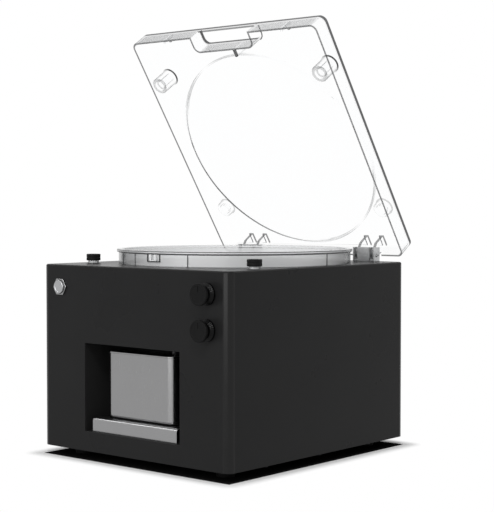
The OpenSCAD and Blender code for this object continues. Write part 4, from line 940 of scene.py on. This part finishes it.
def buildCollar():
    low, high = collarBox[0].z, collarBox[1].z
    rimLow, lowBand, topBand = high - collar["rim"], collar["rimLowBand"], collar["rimTopBand"]
    outer = collarRim - collar["overhang"]
    inner = outer - collar["wall"]
    rimIn = inner - collar["inhang"]
    corners = [(inner, low), (outer, low), (outer, rimLow)]
    corners += [(collarRim, z) for z in (rimLow, rimLow + lowBand, high - topBand, high)]
    corners += [(rimIn, high), (rimIn, rimLow), (inner, rimLow)]
    ring = turned("feedCollar", filleted(corners, collar["rounds"], 5), closed=True, steps=256)
    barTop = rimLow + collar["intoRim"]
    half = collar["ribWidth"] / 2
    bars = []
    for angle in collar["ribAngles"]:
        bars.append(collarBar(outer, collar["ribOut"], half, low, barTop, math.radians(angle)))
    combined(ring, bars + keeperFrame(outer, barTop), "UNION")
    shifted(ring, tankMiddle.x, tankMiddle.y, 0)
    eased(ring, collar["edge"], limit=55)

    def faceFinish(spot, normal):
        away = Vector((spot.x - tankMiddle.x, spot.y - tankMiddle.y))
        outward = normal.xy.dot(away) / away.length
        if spot.z < rimLow - collarMarks["underRim"]:
            if away.length > outer + slack:
                return "line"
            return "wall" if outward > collarMarks["outside"] else "inside"
        if outward > collarMarks["side"]:
            return "line" if spot.z < rimLow + lowBand or spot.z > high - topBand else "wall"
        if outward < -collarMarks["side"]:
            return "soft" if abs(outward) < collarMarks["square"] else "inside"
        return "top"

    marked(ring, collarFinishes, faceFinish)
    finished(ring, "chassis", "clear_plastic", collarFinishes, "feed_collar")


buildCollar()
print("collar built")


# Pull-out bin and its shelf
binShape = {
    "wall": 1.2,
    "lip": 1.0, "lipHeight": 2.0, "lipRound": 0.5, "lipInRound": 0.3,
    "lipBelow": 0.4,  # neck under the rolled lip
    "lipStep": 0.3, "corner": 10, "leastCorner": 1, "edge": 5,
}
binBox = nodeBox("collection_bin")


def binLoop(inset, z):
    radius = max(binShape["corner"] + binShape["lip"] - inset, binShape["leastCorner"])
    return boxLoop(binBox, inset, radius, z)


def buildBin():
    low, high = binBox[0].z, binBox[1].z
    lip, wall, edge, step = (binShape[key] for key in ("lip", "wall", "edge", "lipStep"))
    lipLow, outRound, inRound = high - binShape["lipHeight"], binShape["lipRound"], binShape["lipInRound"]
    inside, inEdge = lip + wall, edge - wall
    profile = roundOver(lip, low, edge, edge, 6)
    profile += [(lip, lipLow - binShape["lipBelow"]), (lip - step, lipLow), (0, lipLow + step)]
    profile += roundOver(0, high, outRound, -outRound, 4, fromSide=True)
    profile += roundOver(inside, high, -inRound, -inRound, 3)
    profile += roundOver(inside, low + wall, inEdge, inEdge, 6, fromSide=True)
    tub = eased(skinLoops("collectionBin", [binLoop(*spot) for spot in profile]), 0)
    finished(tub, "bin", "stainless", steelUpright, "collection_bin")


shelf = {"sheet": 1.5, "rounds": [0.3, 5, 0.4, 0.3, 0.3, 0.3, 3.5, 0.3], "edge": 0.25}


def buildShelf():
    size = shelfBox[1] - shelfBox[0]
    deep, tall, sheet = size.y, size.z, shelf["sheet"]
    corners = [(0, 0), (0, tall), (deep, tall), (deep, 0), (deep - sheet, 0), (deep - sheet, tall - sheet)]
    corners += [(sheet, tall - sheet), (sheet, 0)]
    outline = filleted(corners, shelf["rounds"])
    plate = raised("binShelf", outline, shelfBox[0].x, shelfBox[1].x)
    shifted(place(plate, alongX), 0, shelfBox[0].y, shelfBox[0].z)
    eased(plate, shelf["edge"], limit=60)
    finished(plate, "chassis", "stainless", steelAcross, "bin_shelf")


buildBin()
buildShelf()
print("bin and shelf built")


# Control knobs with fluted waists
knob = {
    "flange": 2.6, "waistIn": 3.2, "bevel": 1.0, "frontSlope": 0.6, "edgeRound": 0.5, "waistRound": 0.4,
    "flutes": 30, "fluteSteps": 8, "fluteDepth": 0.55,
    "fluteFrom": 0.3,  # from the cone's end
    "fluteTo": 0.5,  # from the front end
    "facePan": 0.35, "faceRim": 2.2, "panSlope": 0.5, "panRound": 0.2,
    "dullFrom": 0.3,  # ahead of the waist, where the dull front end starts
    "pointerWidth": 1.4, "pointerLength": 8.0, "pointerDeep": 0.5, "pointerGap": 0.6,
    "cutPast": 1,
}
knobFinishes = {"grip": grainy["knobGloss"], "face": grainy["knobFace"]}


def buildKnob(node, body):
    box = nodeBox(node)
    centre, size = middle(box), box[1] - box[0]
    radius, tall = size.x / 2, size.y
    waist = radius - knob["waistIn"]
    pan = radius - knob["bevel"] - knob["faceRim"]
    panFloor = tall - knob["facePan"]
    cone = knob["flange"] + knob["waistIn"]
    frontEnd = tall - knob["bevel"] - knob["flange"]
    corners = [(0, 0), (radius, 0), (radius, knob["flange"]), (waist, cone)]
    corners += [(waist, frontEnd - knob["frontSlope"]), (radius, frontEnd), (radius, tall)]
    corners += [(pan + knob["panSlope"], tall), (pan, panFloor), (0, panFloor)]
    soft, panSoft = knob["waistRound"], knob["panRound"]
    radii = [0, knob["edgeRound"], soft, soft, soft, soft, knob["bevel"], panSoft, panSoft, 0]

    def flute(reach, height, angle):
        onWaist = cone - knob["fluteFrom"] < height < frontEnd - knob["fluteTo"]
        if not onWaist or reach > waist + knob["fluteFrom"]:
            return 0
        return knob["fluteDepth"] * (0.5 + 0.5 * math.cos(knob["flutes"] * angle)) ** 2

    steps = knob["flutes"] * knob["fluteSteps"]
    grip = turned(pieceName(node), filleted(corners, radii, 5), steps=steps, wave=flute)
    half = knob["pointerWidth"] / 2
    line = slab(0, half, pan - knob["pointerLength"], pan - knob["pointerGap"],
                panFloor - knob["pointerDeep"], tall + knob["cutPast"])
    eased(combined(grip, [line], "DIFFERENCE"), 0)
    dull = frontEnd + knob["dullFrom"]
    marked(grip, knobFinishes, lambda spot, normal: "face" if spot.z > dull else "grip")
    facingFront(grip, centre.x, box[1].y, centre.z)
    finished(grip, body, "gloss_black_plastic", knobFinishes, node)


buildKnob("speed_knob", "speed_control")
buildKnob("timer_knob", "timer_control")


# Push button in its hexagonal bezel
button = {
    "bezelRound": 0.5, "bezelCorner": 0.6, "boreGap": 0.3, "borePast": 2, "stem": 4, "headDeep": 3.7,
    "dish": 0.35,
    "dishMiddle": 0.4,  # share of the dish's depth left at its middle
    "dishFrom": 2.2,  # from the cap's edge in to the dish
    "dishTo": 2.8,
    "rounds": [0, 0.3, 0, 0.3, 0.8, 0.3, 0.4, 0],  # of the cap's corners, in their order
}


def buildButton():
    capBox, bezelBox = nodeBox("button_cap"), nodeBox("button_bezel")
    centre, size = middle(bezelBox), bezelBox[1] - bezelBox[0]
    across, tall, past = size.x / 2, size.y, button["borePast"]
    radius, deep = (capBox[1].x - capBox[0].x) / 2, capBox[1].y - capBox[0].y
    hexagon = [(across * math.cos(math.pi / 3 * k), across * math.sin(math.pi / 3 * k)) for k in range(6)]
    bezel = raised("buttonBezel", filleted(hexagon, button["bezelCorner"], 3), 0, tall)
    combined(bezel, [drill(radius + button["boreGap"], -past, tall + past, 64)], "DIFFERENCE")
    eased(bezel, button["bezelRound"], steps=3)
    facingFront(bezel, centre.x, bezelBox[1].y, centre.z)
    finished(bezel, "chassis", "stainless", steelAcross, "button_bezel")
    stem, head, dish = button["stem"], deep - button["headDeep"], button["dish"]
    corners = [(0, 0), (stem, 0), (stem, head), (radius, head), (radius, deep)]
    corners += [(radius - button["dishFrom"], deep), (radius - button["dishTo"], deep - dish)]
    corners.append((0, deep - dish * button["dishMiddle"]))
    cap = eased(turned("buttonCap", filleted(corners, button["rounds"], 5), steps=72), 0)
    facingFront(cap, centre.x, capBox[1].y, centre.z)
    finished(cap, "button", "bright_steel", steelTurned, "button_cap")


buildButton()
print("controls built")


# Rubber bumpers on their posts
bumper = {
    "band": 0.35,
    "bandAt": (0.42, 0.46, 0.54, 0.58),  # shares of the height
    "rim": 3.2, "pan": 3.8, "panDeep": 0.5,
    "rounds": [0, 0.5, 0.1, 0.1, 0.1, 0.1, 0.9, 0.3, 0.3, 0],  # of the section's corners, in their order
}


def buildBumper(node):
    box = nodeBox(node)
    centre, size = middle(box), box[1] - box[0]
    radius, tall, panFloor = size.x / 2, size.z, size.z - bumper["panDeep"]
    groove = radius - bumper["band"]
    reaches = zip((radius, groove, groove, radius), bumper["bandAt"])
    corners = [(0, 0), (radius, 0)] + [(reach, tall * share) for reach, share in reaches]
    corners += [(radius, tall), (radius - bumper["rim"], tall), (radius - bumper["pan"], panFloor)]
    corners.append((0, panFloor))
    cap = eased(turned(pieceName(node), filleted(corners, bumper["rounds"], 4), steps=64), 0)
    shifted(cap, centre.x, centre.y, box[0].z)
    finished(cap, "chassis", "black_rubber", grainy["blackRubber"], node)


buildBumper("bumper_cap_left")
buildBumper("bumper_cap_right")

# Hinge brackets: feet under the slots and a groove across the middle, at the front
bracket = {
    "footHalf": 4.2, "footHeight": 4, "footDeep": 4,
    "grooveHalf": 9, "grooveAt": 9, "groove": 0.9,
    "cutPast": 1, "edge": 0.3,
}


def buildBracket(node):
    box = nodeBox(node)
    centre, front, base = middle(box).x, box[0].y, box[0].z
    past, groove, grooveLow = bracket["cutPast"], bracket["groove"], base + bracket["grooveAt"]
    half, wide = bracket["footHalf"], bracket["grooveHalf"]
    cuts = []
    for lug in (-0.5, 0.5):
        x = centre + lug * lid["lugPitch"]
        cuts.append(slab(x, half, front - past, front + bracket["footDeep"],
                         base - past, base + bracket["footHeight"]))
    cuts.append(slab(centre, wide, front - past, front + groove, grooveLow, grooveLow + groove))
    finished(softCopy(node, bracket["edge"], cuts), "chassis", "hinge_steel", grainy["hingeSteel"], node)


buildBracket("hinge_bracket_left")
buildBracket("hinge_bracket_right")

# Cloudy posts under the bumpers, and the latch keeper
postEdge = 0.3
for nodeName in ("bumper_post_left", "bumper_post_right"):
    finished(softCopy(nodeName, postEdge), "chassis", "clear_plastic", milkyPlastic, nodeName)
keeper = {"round": 0.9, "edgeStrip": 1.3, "level": 0.9998}


# thin strips, the rounded edges of a piece, take its second material
def markEdges(piece):
    for polygon in piece.data.polygons:
        corners = [piece.data.vertices[index].co for index in polygon.vertices]
        around = sum((a - b).length for a, b in zip(corners, corners[1:] + corners[:1]))
        level = max(abs(part) for part in polygon.normal) > keeper["level"]
        thin = 2 * polygon.area / around < keeper["edgeStrip"] * mm
        polygon.material_index = 1 if thin and not level else 0
    return piece


keeperFinishes = {"wall": paleWall, "edge": plateEdge}
keeperPiece = markEdges(softCopy("latch_keeper", keeper["round"]))
finished(keeperPiece, "chassis", "clear_plastic", keeperFinishes, "latch_keeper")

# Other pieces keep the frame's shape and get eased edges: node, width of the edge, body
softPieces = [
    ("hinge_pin_left", 0.4, "chassis"),
    ("hinge_pin_right", 0.4, "chassis"),
    ("recess_housing", 0.4, "chassis"),
    ("rear_panel", 0.3, "chassis"),
    ("power_inlet", 0.4, "chassis"),
    ("peeling_disc", 0.4, "rotor"),
    ("disc_cap", 0.6, "rotor"),
    ("disc_wipers", 0.4, "rotor"),
    ("peel_chute", 0.3, "chassis"),
    ("foot_front_left", 0.8, "chassis"),
    ("foot_front_right", 0.8, "chassis"),
    ("foot_rear_left", 0.8, "chassis"),
    ("foot_rear_right", 0.8, "chassis"),
]
for nodeName, width, bodyName in softPieces:
    slotName = nodeSlot[nodeName]
    finished(softCopy(nodeName, width), bodyName, slotName, slotFinish[slotName], nodeName)
print("eased pieces:", len(softPieces))


# Stage: white sweep, soft lamps
stage = {
    "floorSize": 14000, "floorColor": (0.86, 0.86, 0.86, 1), "floorRough": 0.9,
    "underColor": (0.012, 0.012, 0.012, 1),  # painted shadow: near-black floor in the cabinet's footprint
    "ambient": 0.3,
    "sweepNear": 2,  # where the white of the sweep starts outside the cabinet's footprint
    "sweepFar": 28,
}


def whiteRays(tree):
    path = addNode(tree, "ShaderNodeLightPath").outputs
    seen = mathNode(tree, "MAXIMUM", path["Is Camera Ray"], path["Is Glossy Ray"])
    return mathNode(tree, "MAXIMUM", seen, path["Is Transmission Ray"])


def floorPlane():
    half = stage["floorSize"] / 2
    corners = [(-half, -half, 0), (half, -half, 0), (half, half, 0), (-half, half, 0)]
    bm = bmesh.new()
    bm.faces.new([bm.verts.new(Vector(corner) * mm) for corner in corners])
    return newObject("floor", bm)


# distance outside the cabinet's footprint, in metres
def footprintDistance(tree):
    axes = addNode(tree, "ShaderNodeSeparateXYZ")
    tree.links.new(addNode(tree, "ShaderNodeTexCoord").outputs["Object"], axes.inputs[0])
    size = cabinetBox[1] - cabinetBox[0]
    squares = []
    for socket, reach in ((axes.outputs["X"], size.x / 2), (axes.outputs["Y"], size.y / 2)):
        away = mathNode(tree, "SUBTRACT", mathNode(tree, "ABSOLUTE", socket), reach * mm)
        squares.append(mathNode(tree, "POWER", mathNode(tree, "MAXIMUM", away, 0.0), 2.0))
    return mathNode(tree, "SQRT", mathNode(tree, "ADD", *squares))


def buildFloor():
    floor = floorPlane()
    material, tree, shader = newFinish("paleFloor")
    distance = footprintDistance(tree)
    outside = mapped(tree, distance, stage["sweepNear"] * mm, stage["sweepFar"] * mm, 0, 1, smooth=True)
    # inside the cabinet's footprint the floor takes the painted shadow colour
    past = mathNode(tree, "GREATER_THAN", distance, 0.0)
    tone = mixColor(tree, past, stage["underColor"], stage["floorColor"])
    feed(tree, shader, {"Base Color": tone, "Roughness": stage["floorRough"], "Specular IOR Level": 0.0})
    glow = addNode(tree, "ShaderNodeEmission")
    mixSurface(tree, mathNode(tree, "MULTIPLY", outside, whiteRays(tree)), shader, glow)
    floor.data.materials.append(material)


def buildWorld():
    world = bpy.data.worlds.new("softRoom")
    bpy.context.scene.world = world
    world.use_nodes = True
    tree = world.node_tree
    strength = mapped(tree, whiteRays(tree), 0, 1, stage["ambient"], 1)
    feed(tree, tree.nodes["Background"], {"Color": (1, 1, 1, 1), "Strength": strength})


lamps = [  # name, degrees round from the front to the right, degrees up, distance, width, height, watts
    ("frontPanel", 8, 14, 2600, 2600, 2200, 40),
    ("keyLamp", 41, 40, 2600, 260, 260, 15),
    ("leftSpark", -55, 37, 2600, 700, 300, 4),
    ("backPanel", 140, 35, 2600, 1200, 800, 8),
    ("topPanel", 20, 80, 2400, 2000, 2000, 12),
]


def buildLamps():
    aim = middle(cabinetBox)
    for name, around, up, distance, width, height, watts in lamps:
        turn, rise = math.radians(around), math.radians(up)
        level = math.cos(rise)
        offset = Vector((math.sin(turn) * level, -math.cos(turn) * level, math.sin(rise)))
        data = bpy.data.lights.new(name, "AREA")
        data.shape = "RECTANGLE"
        data.size = width * mm
        data.size_y = height * mm
        data.energy = watts
        lamp = bpy.data.objects.new(name, data)
        lamp.location = (aim + offset * distance) * mm
        lamp.rotation_euler = (-offset).to_track_quat("-Z", "Y").to_euler()
        bpy.context.scene.collection.objects.link(lamp)


buildFloor()
buildWorld()
buildLamps()
bpy.context.scene.view_settings.view_transform = "Standard"
print("stage lit")
